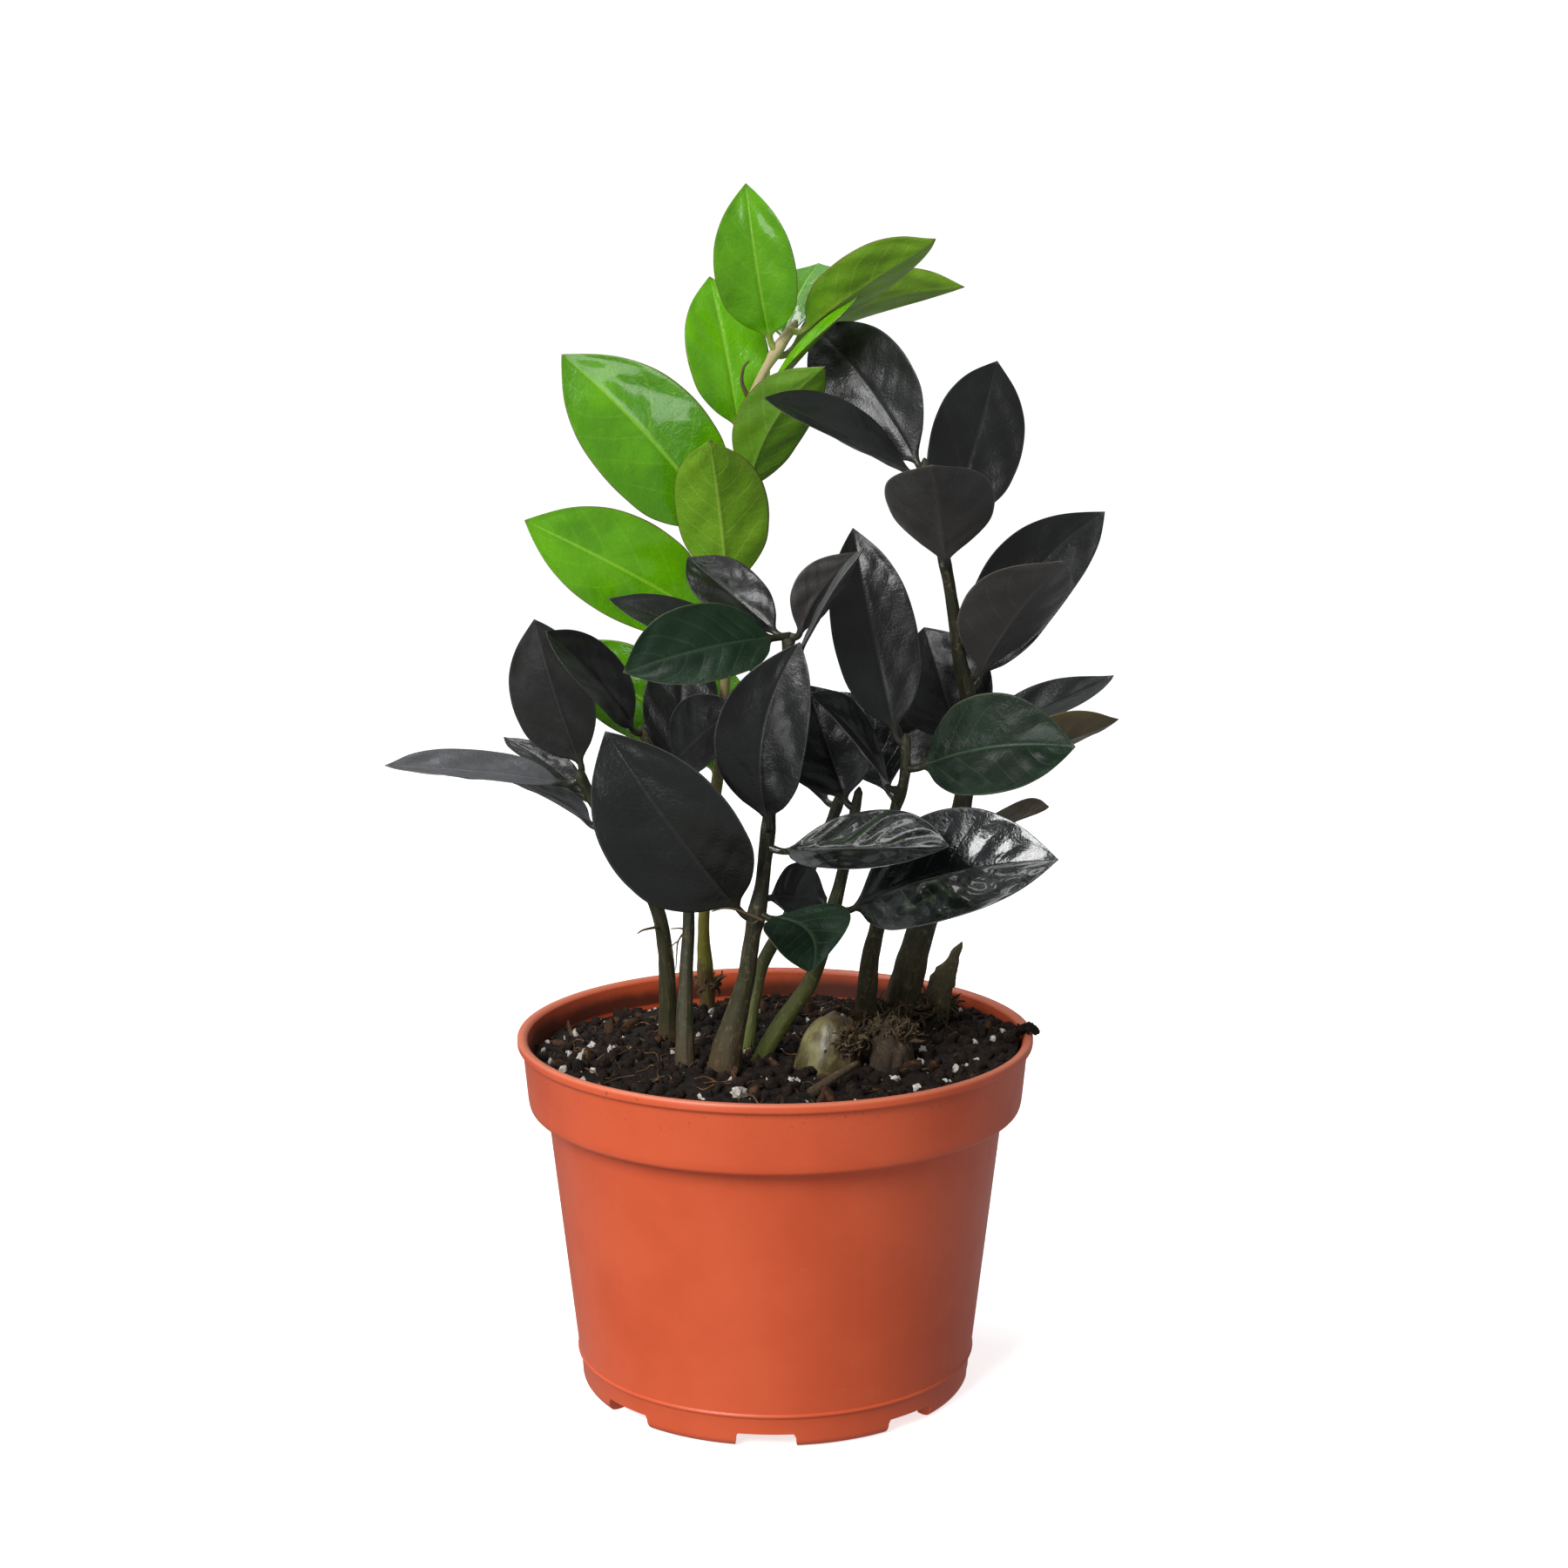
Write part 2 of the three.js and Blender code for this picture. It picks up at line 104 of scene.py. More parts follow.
def smooth_line(places, values, at):
    """Values at any place, on a smooth curve through the given ones."""
    values = np.asarray(values, float)
    slopes = np.gradient(values, places, axis=0)
    low = np.clip(np.searchsorted(places, at, side="right") - 1, 0, len(places) - 2)
    step = np.asarray(places)[low + 1] - np.asarray(places)[low]
    t = (at - np.asarray(places)[low]) / step
    if values.ndim > 1:
        t, step = t[:, None], step[:, None]
    return (
        (1 + 2 * t) * (1 - t) ** 2 * values[low]
        + t * (1 - t) ** 2 * step * slopes[low]
        + t * t * (3 - 2 * t) * values[low + 1]
        + t * t * (t - 1) * step * slopes[low + 1]
    )


def ease(value, low, high):
    """0 below low, 1 above high, and a smooth step between."""
    t = np.clip((value - low) / (high - low), 0, 1)
    return t * t * (3 - 2 * t)


def add_object(name, points, faces, materials=()):
    """A smooth object from points in metres."""
    mesh = bpy.data.meshes.new(name)
    mesh.from_pydata(points.tolist(), [], faces)
    for material in materials:
        mesh.materials.append(material)
    mesh.shade_smooth()
    thing = bpy.data.objects.new(name, mesh)
    bpy.context.scene.collection.objects.link(thing)
    return thing


def joined(parts):
    """The points and faces of several parts as those of one."""
    points, faces = [], []
    for some_points, some_faces in parts:
        start = len(points)
        points += some_points
        faces += [tuple(start + i for i in face) for face in some_faces]
    return points, faces


def make_piece(
    name, points, faces, materials, slot=None, replaces=None, places=None, veins=None, kinds=None
):
    """A visible piece from points in mm. Materials read places, a vector for each point, and veins,
    a number for each. kinds gives each face its material."""
    piece = add_object(name, np.asarray(points) * MM, faces, materials)
    mesh = piece.data
    if kinds is not None:
        mesh.polygons.foreach_set("material_index", kinds)
    if places is not None:
        stored = mesh.attributes.new("place", "FLOAT_VECTOR", "POINT")
        stored.data.foreach_set("vector", np.asarray(places, np.float32).ravel())
    if veins is not None:
        stored = mesh.attributes.new("vein", "FLOAT", "POINT")
        stored.data.foreach_set("value", np.asarray(veins, np.float32))
    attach(piece, "root")
    if replaces:
        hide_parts(*replaces)
    return piece


def tube_faces(count, corners):
    """Faces over count rings of points, closed at both ends by a point: the first and the last."""
    faces = []
    last = 1 + count * corners
    for k in range(corners):
        near, far = 1 + k, 1 + (k + 1) % corners
        faces.append((0, far, near))
        for ring in range(count - 1):
            a = ring * corners
            faces.append((a + near, a + far, a + corners + far, a + corners + near))
        a = (count - 1) * corners
        faces.append((a + near, a + far, last))
    return faces


def cad_rings(node, near):
    """A solid's rings of points in mm, from its end point that is nearest to near to the other."""
    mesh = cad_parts[node].data
    raw = np.empty(len(mesh.vertices) * 3)
    mesh.vertices.foreach_get("co", raw)
    points, names = np.unique(np.round(raw.reshape(-1, 3) / MM, 3), axis=0, return_inverse=True)
    names = names.ravel()
    linked = [set() for _ in points]
    for edge in mesh.edges:
        a, b = (int(names[i]) for i in edge.vertices)
        linked[a].add(b)
        linked[b].add(a)
    found = []
    for start in range(len(points)):
        rings, seen = [[start]], {start}
        while len(seen) < len(points):
            rings.append(sorted({b for a in rings[-1] for b in linked[a]} - seen))
            seen.update(rings[-1])
        if len(rings[-1]) == 1 and len({len(ring) for ring in rings[1:-1]}) == 1:
            found.append([points[ring] for ring in rings])
    return min(found, key=lambda rings: np.linalg.norm(rings[0][0] - near))


def solid_tree(node):
    """A solid in mm, for finding the nearest place on it."""
    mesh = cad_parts[node].data
    points = [vertex.co / MM for vertex in mesh.vertices]
    return BVHTree.FromPolygons(points, [tuple(face.vertices) for face in mesh.polygons])


# ---- Materials -------------------------------------------------------------------------------


def colour(code):
    """A colour such as "d4603a" as the shader's linear numbers."""
    parts = [int(code[i : i + 2], 16) / 255 for i in (0, 2, 4)]
    return (*[p / 12.92 if p <= 0.04045 else ((p + 0.055) / 1.055) ** 2.4 for p in parts], 1)


class Paint:
    """A material, with short names for the nodes that paint it."""

    def __init__(self, name, **sockets):
        self.material = bpy.data.materials.new(name)
        self.material.use_nodes = True
        self.tree = self.material.node_tree
        self.shader = self.tree.nodes["Principled BSDF"]
        for label, value in sockets.items():
            self.shader.inputs[label.replace("_", " ")].default_value = value

    def add(self, kind, inputs, output=0, **settings):
        node = self.tree.nodes.new("ShaderNode" + kind)
        for key, value in settings.items():
            setattr(node, key, value)
        for key, value in inputs.items():
            self.plug(node.inputs[key], value)
        return node.outputs[output]

    def plug(self, socket, value):
        if isinstance(value, bpy.types.NodeSocket):
            self.tree.links.new(value, socket)
        else:
            socket.default_value = value

    def paint(self, label, value):
        self.plug(self.shader.inputs[label], value)

    def math(self, operation, a, b=0.0):
        return self.add("Math", {0: a, 1: b}, operation=operation)

    def times(self, *values):
        result = values[0]
        for value in values[1:]:
            result = self.math("MULTIPLY", result, value)
        return result

    def span(self, value, low, high, start=0.0, end=1.0):
        """value from low to high becomes start to end, with a smooth step."""
        inputs = {"Value": value, "From Min": low, "From Max": high, "To Min": start, "To Max": end}
        return self.add("MapRange", inputs, interpolation_type="SMOOTHSTEP")

    def blend(self, share, first, second):
        return self.add("Mix", {0: share, 6: first, 7: second}, output=2, data_type="RGBA")

    def parts(self, vector):
        node = self.tree.nodes.new("ShaderNodeSeparateXYZ")
        self.tree.links.new(vector, node.inputs[0])
        return vector, *node.outputs

    def place(self):
        """The vector kept on each point, and its three parts."""
        return self.parts(self.add("Attribute", {}, output=1, attribute_name="place"))

    def where(self):
        """The place on the object, in metres, and its three parts."""
        return self.parts(self.add("TexCoord", {}, output=3))

    def stretch(self, vector, scale):
        return self.add("Mapping", {"Vector": vector, "Scale": scale})

    def noise(self, vector, scale, detail=3.0, rough=0.5):
        inputs = {"Vector": vector, "Scale": scale, "Detail": detail, "Roughness": rough}
        return self.add("TexNoise", inputs)

    def relief(self, height, distance, strength=1.0):
        """Bumps as deep as distance, in metres, where height goes from 0 to 1."""
        inputs = {"Height": height, "Distance": distance, "Strength": strength}
        self.paint("Normal", self.add("Bump", inputs))


def leaf_side(name, body, shade, rib, rim, stalk, rough, veins, **sockets):
    """One side of a blade: clouds of body and shade, rib on the midrib and veins, rim at the
    margin and tip. A pale rim on the dark leaflets is a painted edge highlight; on the green ones
    rim is a browned margin. rough is the least and the most roughness, and veins is how clear the
    veins are."""
    p = Paint(name, **sockets)
    _, along, across, tone = p.place()
    where = p.where()[0]
    side = p.math("ABSOLUTE", across)
    phase = p.add("Attribute", {}, output=2, attribute_name="vein")
    from_vein = p.math("ABSOLUTE", p.math("SUBTRACT", p.math("FRACT", phase), 0.5))
    wobble = p.noise(where, 260, 2)
    vein = p.span(p.math("ADD", from_vein, p.times(wobble, 0.05)), 0.03, 0.11, 1.0, 0.0)
    inner, outer, ahead = p.span(side, 0.98, 0.7), p.span(side, 0.03, 0.1), p.span(along, 0.1, 0.2)
    vein = p.times(vein, inner, outer, ahead, veins)
    midrib = p.span(side, 0.012, 0.05, 1.0, 0.0)
    clouds = p.span(p.math("ADD", p.noise(where, 75, 3), p.times(tone, 0.35)), 0.45, 0.85)
    paint = p.blend(clouds, colour(body), colour(shade))
    paint = p.blend(vein, paint, colour(rib))
    paint = p.blend(p.times(midrib, 0.6), paint, colour(rib))
    fleck = p.span(p.noise(where, 1500, 2), 0.62, 0.75, 0.0, 0.2)
    paint = p.blend(fleck, paint, colour(rib))
    # Rim at the margin and tip: on the dark sides a painted edge highlight, on the green sides a
    # browned margin.
    edge = p.math("MAXIMUM", p.span(side, 0.955, 0.995), p.span(along, 0.97, 0.995))
    paint = p.blend(p.times(edge, 0.8), paint, colour(rim))
    paint = p.blend(p.span(along, 0.05, 0.13, 1.0, 0.0), paint, colour(stalk))
    p.paint("Base Color", paint)
    gloss = p.math("ADD", p.noise(where, 120, 4), p.times(vein, 0.3))
    p.paint("Roughness", p.span(gloss, 0.3, 0.8, rough[0], rough[1]))
    skin = p.math("ADD", p.noise(where, 1400, 3), p.times(p.noise(where, 340, 3), 2.2))
    p.relief(p.math("SUBTRACT", skin, p.times(vein, 0.9)), 0.0002, 0.55)
    return p.material


def bark_paint(name, foot, middle, top, spot, heights, rough, **sockets):
    """A stem's skin: three colours from the mix upwards, fibrous and wrinkled near the foot.
    heights says, in mm, where the first ends, where the second is pure and where the third is."""
    p = Paint(name, **sockets)
    grain = p.place()[0]
    where, _, _, height = p.where()
    drift = p.times(p.math("SUBTRACT", p.noise(where, 60, 3), 0.5), 0.03)
    height = p.math("ADD", height, drift)
    rise = p.span(height, heights[0] * MM, heights[1] * MM)
    upper = p.span(height, heights[1] * MM, heights[2] * MM)
    paint = p.blend(upper, p.blend(rise, colour(foot), colour(middle)), colour(top))
    lines = p.noise(p.stretch(grain, (1.6, 1.6, 0.12)), 1.4, 5, 0.6)
    paint = p.blend(p.times(p.span(lines, 0.5, 0.72), 0.55), paint, colour(spot))
    mottle = p.span(p.noise(where, 520, 4, 0.65), 0.55, 0.7, 0.0, 0.6)
    paint = p.blend(mottle, paint, colour(spot))
    p.paint("Base Color", paint)
    p.paint("Roughness", p.span(lines, 0.3, 0.7, rough, rough + 0.25))
    fade = p.span(height, heights[0] * MM, heights[1] * MM, 1.0, 0.35)
    p.relief(p.times(lines, fade), 0.0006, 0.8)
    return p.material


# Where the pot's paint changes: radii and heights in metres, from none to full.
INSIDE_RIM = ((RIM_RADIUS - 2.7) * MM, (RIM_RADIUS - 2.1) * MM)
ABOVE_MIX = (0.097, 0.098)
DUSTY = (0.09, 0.104)
# Heights where the painted shade inside the pot deepens towards the mix.
SHADE_TOWARDS_MIX = (0.107, 0.098)
# Heights of the lip's lighter top: a painted highlight with dust.
LIT_DUSTY_LIP = (0.1048, 0.1058)


def pot_paint():
    """Terracotta-coloured plastic: clouds, scuffs, dust, painted shade with smears of soil inside,
    and a lighter top on the lip: a painted highlight with dust.
    """
    p = Paint("pot_plastic", Specular_IOR_Level=0.45, Coat_Weight=0.05, Coat_Roughness=0.35)
    where, x, y, height = p.where()
    clouds = p.noise(where, 22, 5, 0.55)
    paint = p.blend(p.span(clouds, 0.35, 0.7), colour("d75b34"), colour("cb5028"))
    scuffs = p.noise(p.stretch(where, (0.35, 0.35, 2.6)), 420, 5, 0.7)
    scuffs = p.times(p.span(scuffs, 0.62, 0.8), p.span(p.noise(where, 35, 2), 0.45, 0.65))
    paint = p.blend(p.times(scuffs, 0.35), paint, colour("dd8a66"))
    dust = p.times(p.span(p.noise(where, 900, 2), 0.66, 0.74), p.span(height, *DUSTY))
    paint = p.blend(p.times(dust, 0.5), paint, colour("5d3524"))
    radius = p.math("SQRT", p.math("ADD", p.times(x, x), p.times(y, y)))
    # Inside above the mix: painted shade that deepens towards the mix, broken up by smears of soil.
    inside = p.times(p.span(radius, *INSIDE_RIM, 1.0, 0.0), p.span(height, *ABOVE_MIX))
    shade_and_smears = p.math("ADD", p.span(height, *SHADE_TOWARDS_MIX), p.times(p.noise(where, 45, 5, 0.65), 0.9))
    paint = p.blend(p.times(inside, p.span(shade_and_smears, 0.6, 1.3), 0.85), paint, colour("33190e"))
    # The top of the lip made lighter: a painted highlight, with dust.
    paint = p.blend(p.span(height, *LIT_DUSTY_LIP, 0.0, 0.3), paint, colour("cf9b7e"))
    p.paint("Base Color", paint)
    p.paint("Roughness", p.span(clouds, 0.3, 0.7, 0.38, 0.5))
    grain = p.math("ADD", p.noise(where, 2600, 2), p.times(p.noise(where, 60, 2), 0.8))
    p.relief(grain, 0.00008, 0.5)
    return p.material


def earth_paint(name, dark, brown, light, scale, rough):
    """Crumbly matter in three tones."""
    p = Paint(name, Specular_IOR_Level=0.25)
    where = p.where()[0]
    crumbs = p.noise(where, scale, 6, 0.7)
    paint = p.blend(p.span(crumbs, 0.35, 0.65), colour(dark), colour(brown))
    paint = p.blend(p.span(p.noise(where, scale * 2.7, 3), 0.62, 0.72), paint, colour(light))
    p.paint("Base Color", paint)
    p.paint("Roughness", p.span(crumbs, 0.3, 0.7, rough, rough - 0.15))
    p.relief(crumbs, 0.0009, 0.9)
    return p.material


# Where the tuber's skin gives way to dry husk, in metres: upwards, and to the right.
TUBER_TOP = (0.113, 0.119)
TUBER_TORN = (0.0165, 0.018)


def tuber_paint():
    """The tuber's skin: smooth, papery and olive, with dark creases, blots and husk."""
    p = Paint("tuber_skin", Specular_IOR_Level=0.4, Coat_Weight=0.12, Coat_Roughness=0.3)
    where, x, _, height = p.where()
    creases = p.noise(p.stretch(where, (1, 1, 0.35)), 240, 5, 0.6)
    paint = p.blend(p.span(creases, 0.35, 0.65), colour("4a4327"), colour("7d774f"))
    blots = p.span(p.noise(where, 160, 4, 0.6), 0.5, 0.7)
    paint = p.blend(p.times(blots, 0.75), paint, colour("463a20"))
    paint = p.blend(p.span(height, *TUBER_TOP), paint, colour("3f2e1c"))
    torn = p.math("ADD", x, p.times(p.math("SUBTRACT", p.noise(where, 200, 4), 0.5), 0.014))
    paint = p.blend(p.span(torn, *TUBER_TORN), paint, colour("4a3a20"))
    p.paint("Base Color", paint)
    p.paint("Roughness", p.span(creases, 0.3, 0.7, 0.3, 0.5))
    p.relief(creases, 0.0007, 0.6)
    return p.material


def finish(rough, specular, **sockets):
    return {"rough": rough, "Specular_IOR_Level": specular, **sockets}


NORMAL = finish((0.3, 0.46), 0.4, Coat_Weight=0.12, Coat_Roughness=0.2)
GLOSSY = finish((0.14, 0.3), 0.5, Coat_Weight=0.6, Coat_Roughness=0.07)
SATIN = finish((0.34, 0.52), 0.16, Coat_Weight=0.02)
MATTE = finish((0.5, 0.65), 0.12)
UNDERSIDE = finish((0.4, 0.55), 0.35, Sheen_Weight=0.12)
LIT = {"Subsurface_Weight": 0.12, "Subsurface_Scale": 0.001}
YOUNG = finish((0.2, 0.32), 0.35, Coat_Weight=0.45, Coat_Roughness=0.07, **LIT)
SOFT = finish((0.38, 0.52), 0.35, Subsurface_Weight=0.15, Subsurface_Scale=0.001)

# Leaf sides: colours of body, shade, rib, rim and stalk, how clear the veins are, and the finish.
# On the dark sides the pale rim is a painted edge highlight; on the green sides it is a browned
# margin.
DARK_STALK, GREEN_STALK = "2a291e", "8d9a48"
LEAF_SIDES = {
    "dark_upper": ("100f10", "181b18", "292a26", "3c3f3b", DARK_STALK, 0.12, NORMAL),
    "gloss_upper": ("08090b", "101313", "141716", "4a4d4a", DARK_STALK, 0.5, GLOSSY),
    "matte_upper": ("161717", "1f201e", "2c2d2b", "3c3f3c", DARK_STALK, 0.15, MATTE),
    # A grey copy of the dark upper side: a painted reflection, the sheen seen at a grazing angle.
    "reflection_grey_upper": ("56575a", "494a4c", "66676a", "77777a", DARK_STALK, 0.2, NORMAL),
    "dark_under": ("3a3734", "2f2c2a", "4a4540", "524c45", DARK_STALK, 0.25, UNDERSIDE),
    "deep_upper": ("0d1a10", "182b1b", "30452f", "4a5038", DARK_STALK, 0.3, SATIN),
    "olive_under": ("574a28", "3c341f", "71653f", "6f633c", DARK_STALK, 0.35, UNDERSIDE),
    "green_upper": ("5fa300", "4b8a04", "8cc234", "5f6a24", GREEN_STALK, 0.12, YOUNG),
    # A darker copy of the green underside: painted shade.
    "shaded_green_under": ("5f8a20", "4d741b", "7da03d", "5d4d30", GREEN_STALK, 0.3, SOFT),
    "green_under": ("86b52c", "6d9c22", "a5c652", "5d4d30", GREEN_STALK, 0.25, SOFT),
}
# Barks: colours of foot, middle, top and spots, the heights where they change, and roughness.
NEAR_MIX = (99, 108, 124)
BARKS = {
    "stem_dark": ("4a3a24", "2f2f17", "202312", "6a5a3e", (101, 116, 150), 0.5),
    "stem_tinged": ("566022", "41441c", "232516", "6d7036", (103, 118, 150), 0.5),
    "stem_green": ("5c4a2c", "6f6c26", "b29f7c", "8d8f4c", (113, 119, 320), 0.4),
    "husk": ("2f2618", "45422a", "544c34", "77704f", NEAR_MIX, 0.7),
    "old_husk": ("1b130d", "32261a", "2a2017", "63523a", NEAR_MIX, 0.8),
    "shreds": ("241a11", "3f3220", "5a4a2f", "6f5f42", NEAR_MIX, 0.8),
}
# Loose matter: dark, brown and light colours, the scale of its crumbs, and roughness.
EARTHS = {
    "soil": ("0c0705", "1e140e", "3a2a1d", 420, 0.9),
    "clods": ("0e0906", "26190f", "4a3626", 600, 0.9),
    "bark": ("2d1c11", "4d321e", "70502f", 300, 0.75),
    "perlite": ("b5aca0", "e4dfd5", "85796a", 900, 0.8),
    "fibre": ("4d3722", "7a5c3b", "8f7450", 500, 0.8),
}
MATERIALS = {}
for name, (*colours, veins, looks) in LEAF_SIDES.items():
    MATERIALS[name] = leaf_side(name, *colours, veins=veins, **looks)
for name, looks in BARKS.items():
    sockets = {"Specular_IOR_Level": 0.4} if name.startswith("stem") else {}
    MATERIALS[name] = bark_paint(name, *looks, **sockets)
MATERIALS["tuber"] = tuber_paint()
MATERIALS["pot"] = pot_paint()
for name, looks in EARTHS.items():
    MATERIALS[name] = earth_paint(name, *looks)


# ---- Stems -----------------------------------------------------------------------------------

STEM_CORNERS = 20
STEM_STEP = 1.4
SOIL_DEPTH = 12  # how far into the mix a stem is drawn
JOINT_SWELL = 0.22  # how much thicker a stem is where a leaflet joins it
JOINT_REACH = 3.2
STEM_FOLDS = 7


def frames_along(line):
    """The directions across and along a curve at its points, turning as little as they can."""
    tangents = np.gradient(line, axis=0)
    tangents /= np.linalg.norm(tangents, axis=1)[:, None]
    across = unit(np.cross(tangents[0], [0.3, 1, 0.2]))
    result = []
    for tangent in tangents:
        across = unit(across - tangent * (across @ tangent))
        result.append(across)
    return np.array(result), tangents


def round_bar(line, radius_at, corners=STEM_CORNERS):
    """Points of a bar along a line, and each point's grain: its place round the bar and along it.
    radius_at(ring, turn, point) is the radius there."""
    across, tangents = frames_along(line)
    beyond = np.cross(tangents, across)
    points, grain = [], []
    length = 0.0
    for i, centre in enumerate(line):
        if i:
            length += float(np.linalg.norm(centre - line[i - 1]))
        for k in range(corners):
            turn = 2 * math.pi * k / corners
            outward = math.cos(turn) * across[i] + math.sin(turn) * beyond[i]
            radius = radius_at(i, turn, centre + outward)
            points.append(centre + outward * radius)
            grain.append((math.cos(turn) * radius, math.sin(turn) * radius, length))
    points = [line[0], *points, line[-1] + tangents[-1] * 0.3]
    return np.array(points), np.array([(0, 0, 0), *grain, (0, 0, length)])


def ripple(point, size, seed=0.0):
    """Soft noise from -1 to 1, with bumps of about size mm."""
    return noise.noise(Vector((point[0] / size + seed, point[1] / size, point[2] / size)))


def make_stem(node, name, material, joints, slot, wrinkle=0.06, ragged=0.0):
    """A stem over its solid's rings: swollen where leaflets join it, wrinkled at its foot, and torn
    towards its end if ragged."""
    rings = cad_rings(node, np.array((0, 0, -1000)))
    middles = np.array([ring.mean(0) for ring in rings])
    widths = [float(np.linalg.norm(ring - ring.mean(0), axis=1).mean()) for ring in rings]
    widths[0], widths[-1] = widths[1] * 0.8, widths[-2] * 0.35
    apart = np.concatenate([[0], np.cumsum(np.linalg.norm(np.diff(middles, axis=0), axis=1))])
    at = np.linspace(0, apart[-1], int(apart[-1] / STEM_STEP))
    line = smooth_line(apart, middles, at)
    kept = line[:, 2] > SOIL_LEVEL - SOIL_DEPTH
    line, radii = line[kept], np.interp(at, apart, widths)[kept]
    for joint in joints:
        reach = np.linalg.norm(line - joint, axis=1)
        radii = radii * (1 + JOINT_SWELL * np.exp(-((reach / JOINT_REACH) ** 2)))

    def radius_at(i, turn, point):
        foot = 1 - float(ease(line[i][2], SOIL_LEVEL + 4, SOIL_LEVEL + 30))
        fold = math.sin(turn * STEM_FOLDS + 2 * ripple(point, 14)) * wrinkle * (0.25 + foot)
        rough = 0.07 * ripple(line[i] + (point - line[i]) * 3, 5, 3.0)
        torn = ragged * ripple(point, 2.2, 9.0) * float(ease(i / len(line), 0.3, 0.9))
        return radii[i] * (1 + fold + rough + torn)

    points, grain = round_bar(line, radius_at)
    faces = tube_faces(len(line), STEM_CORNERS)
    make_piece(name, points, faces, [MATERIALS[material]], slot, [node], places=grain)


# ---- Leaflets --------------------------------------------------------------------------------

# Where a blade's points lie across each half, as shares of its half-width.
ACROSS_HALF = [0, 0.035, 0.08, 0.14, 0.22, 0.31, 0.41, 0.51, 0.61, 0.7, 0.79, 0.87, 0.93, 0.975, 1]
ACROSS = np.array([-a for a in ACROSS_HALF[:0:-1]] + ACROSS_HALF)
ROUND_BLADE = np.concatenate([ACROSS, ACROSS[-2:0:-1]])  # over the upper side, back along the lower
UPPER = np.concatenate([np.ones(len(ACROSS)), -np.ones(len(ACROSS) - 2)])
BLADE_START = 0.07  # share of the length where the stalk ends
BLADE_FULL = 0.15  # where the blade has its own thickness
BLADE_END = 0.997
BLADE_STEPS = 58
LEAST_HALF = 0.12  # half-width next to the tip
EDGE_THINNING, TIP_THINNING = 0.45, 0.5
STALK_STEPS = 7
DENTS = 0.42  # depth of the soft dents all over a blade
GROOVE, GROOVE_WIDTH = 0.3, 0.6  # along the midrib on the upper side
KEEL, KEEL_WIDTH = 0.55, 0.75  # along the midrib on the underside
STALK_ROOT = 1.2  # how far inside the stem a stalk starts
STALK_SWELL = 0.5  # how much thicker a stalk is at the stem


def blade_lines(node, near):
    """A leaflet's base, directions and length, and its outline and folds at the solid's rings."""
    rings = cad_rings(node, near)
    base, tip = rings[0][0], rings[-1][0]
    length = float(np.linalg.norm(tip - base))
    ahead = (tip - base) / length
    widest = rings[len(rings) // 2]
    across = np.linalg.svd(widest - widest.mean(0))[2][0]
    across = unit(across - ahead * (across @ ahead))
    up = np.cross(across, ahead)
    rows = []
    for ring in rings[1:-1]:
        local = ring - base
        side, height = local @ across, local @ up
        order = np.argsort(side)
        left, middle, right = (height[order[i : i + 2]] for i in (0, 2, 4))
        edge = (max(left) + max(right)) / 2
        rows.append(
            [float((local @ ahead).mean()) / length, (side.max() - side.min()) / 2, side.mean(),
             max(middle), min(middle), edge, (min(left) + min(right)) / 2]
        )
    rows = np.array(rows)
    if (rows[3:6, 5] + rows[3:6, 6] - rows[3:6, 3] - rows[3:6, 4]).mean() < 0:
        up = -up
        rows[:, 3:] = -rows[:, [4, 3, 6, 5]]
    across = np.cross(ahead, up)
    rows[:, 2] = [float(((ring - base) @ across).mean()) for ring in rings[1:-1]]
    middle, edge = rows[:, [3, 4]].mean(1), rows[:, [5, 6]].mean(1)
    values = np.stack([rows[:, 1], rows[:, 2], middle, edge], 1)
    places = np.concatenate([[0], rows[:, 0], [1]])
    lines = np.vstack([values[:1], values, np.zeros((1, 4))])
    return base, (across, ahead, up), length, places, lines


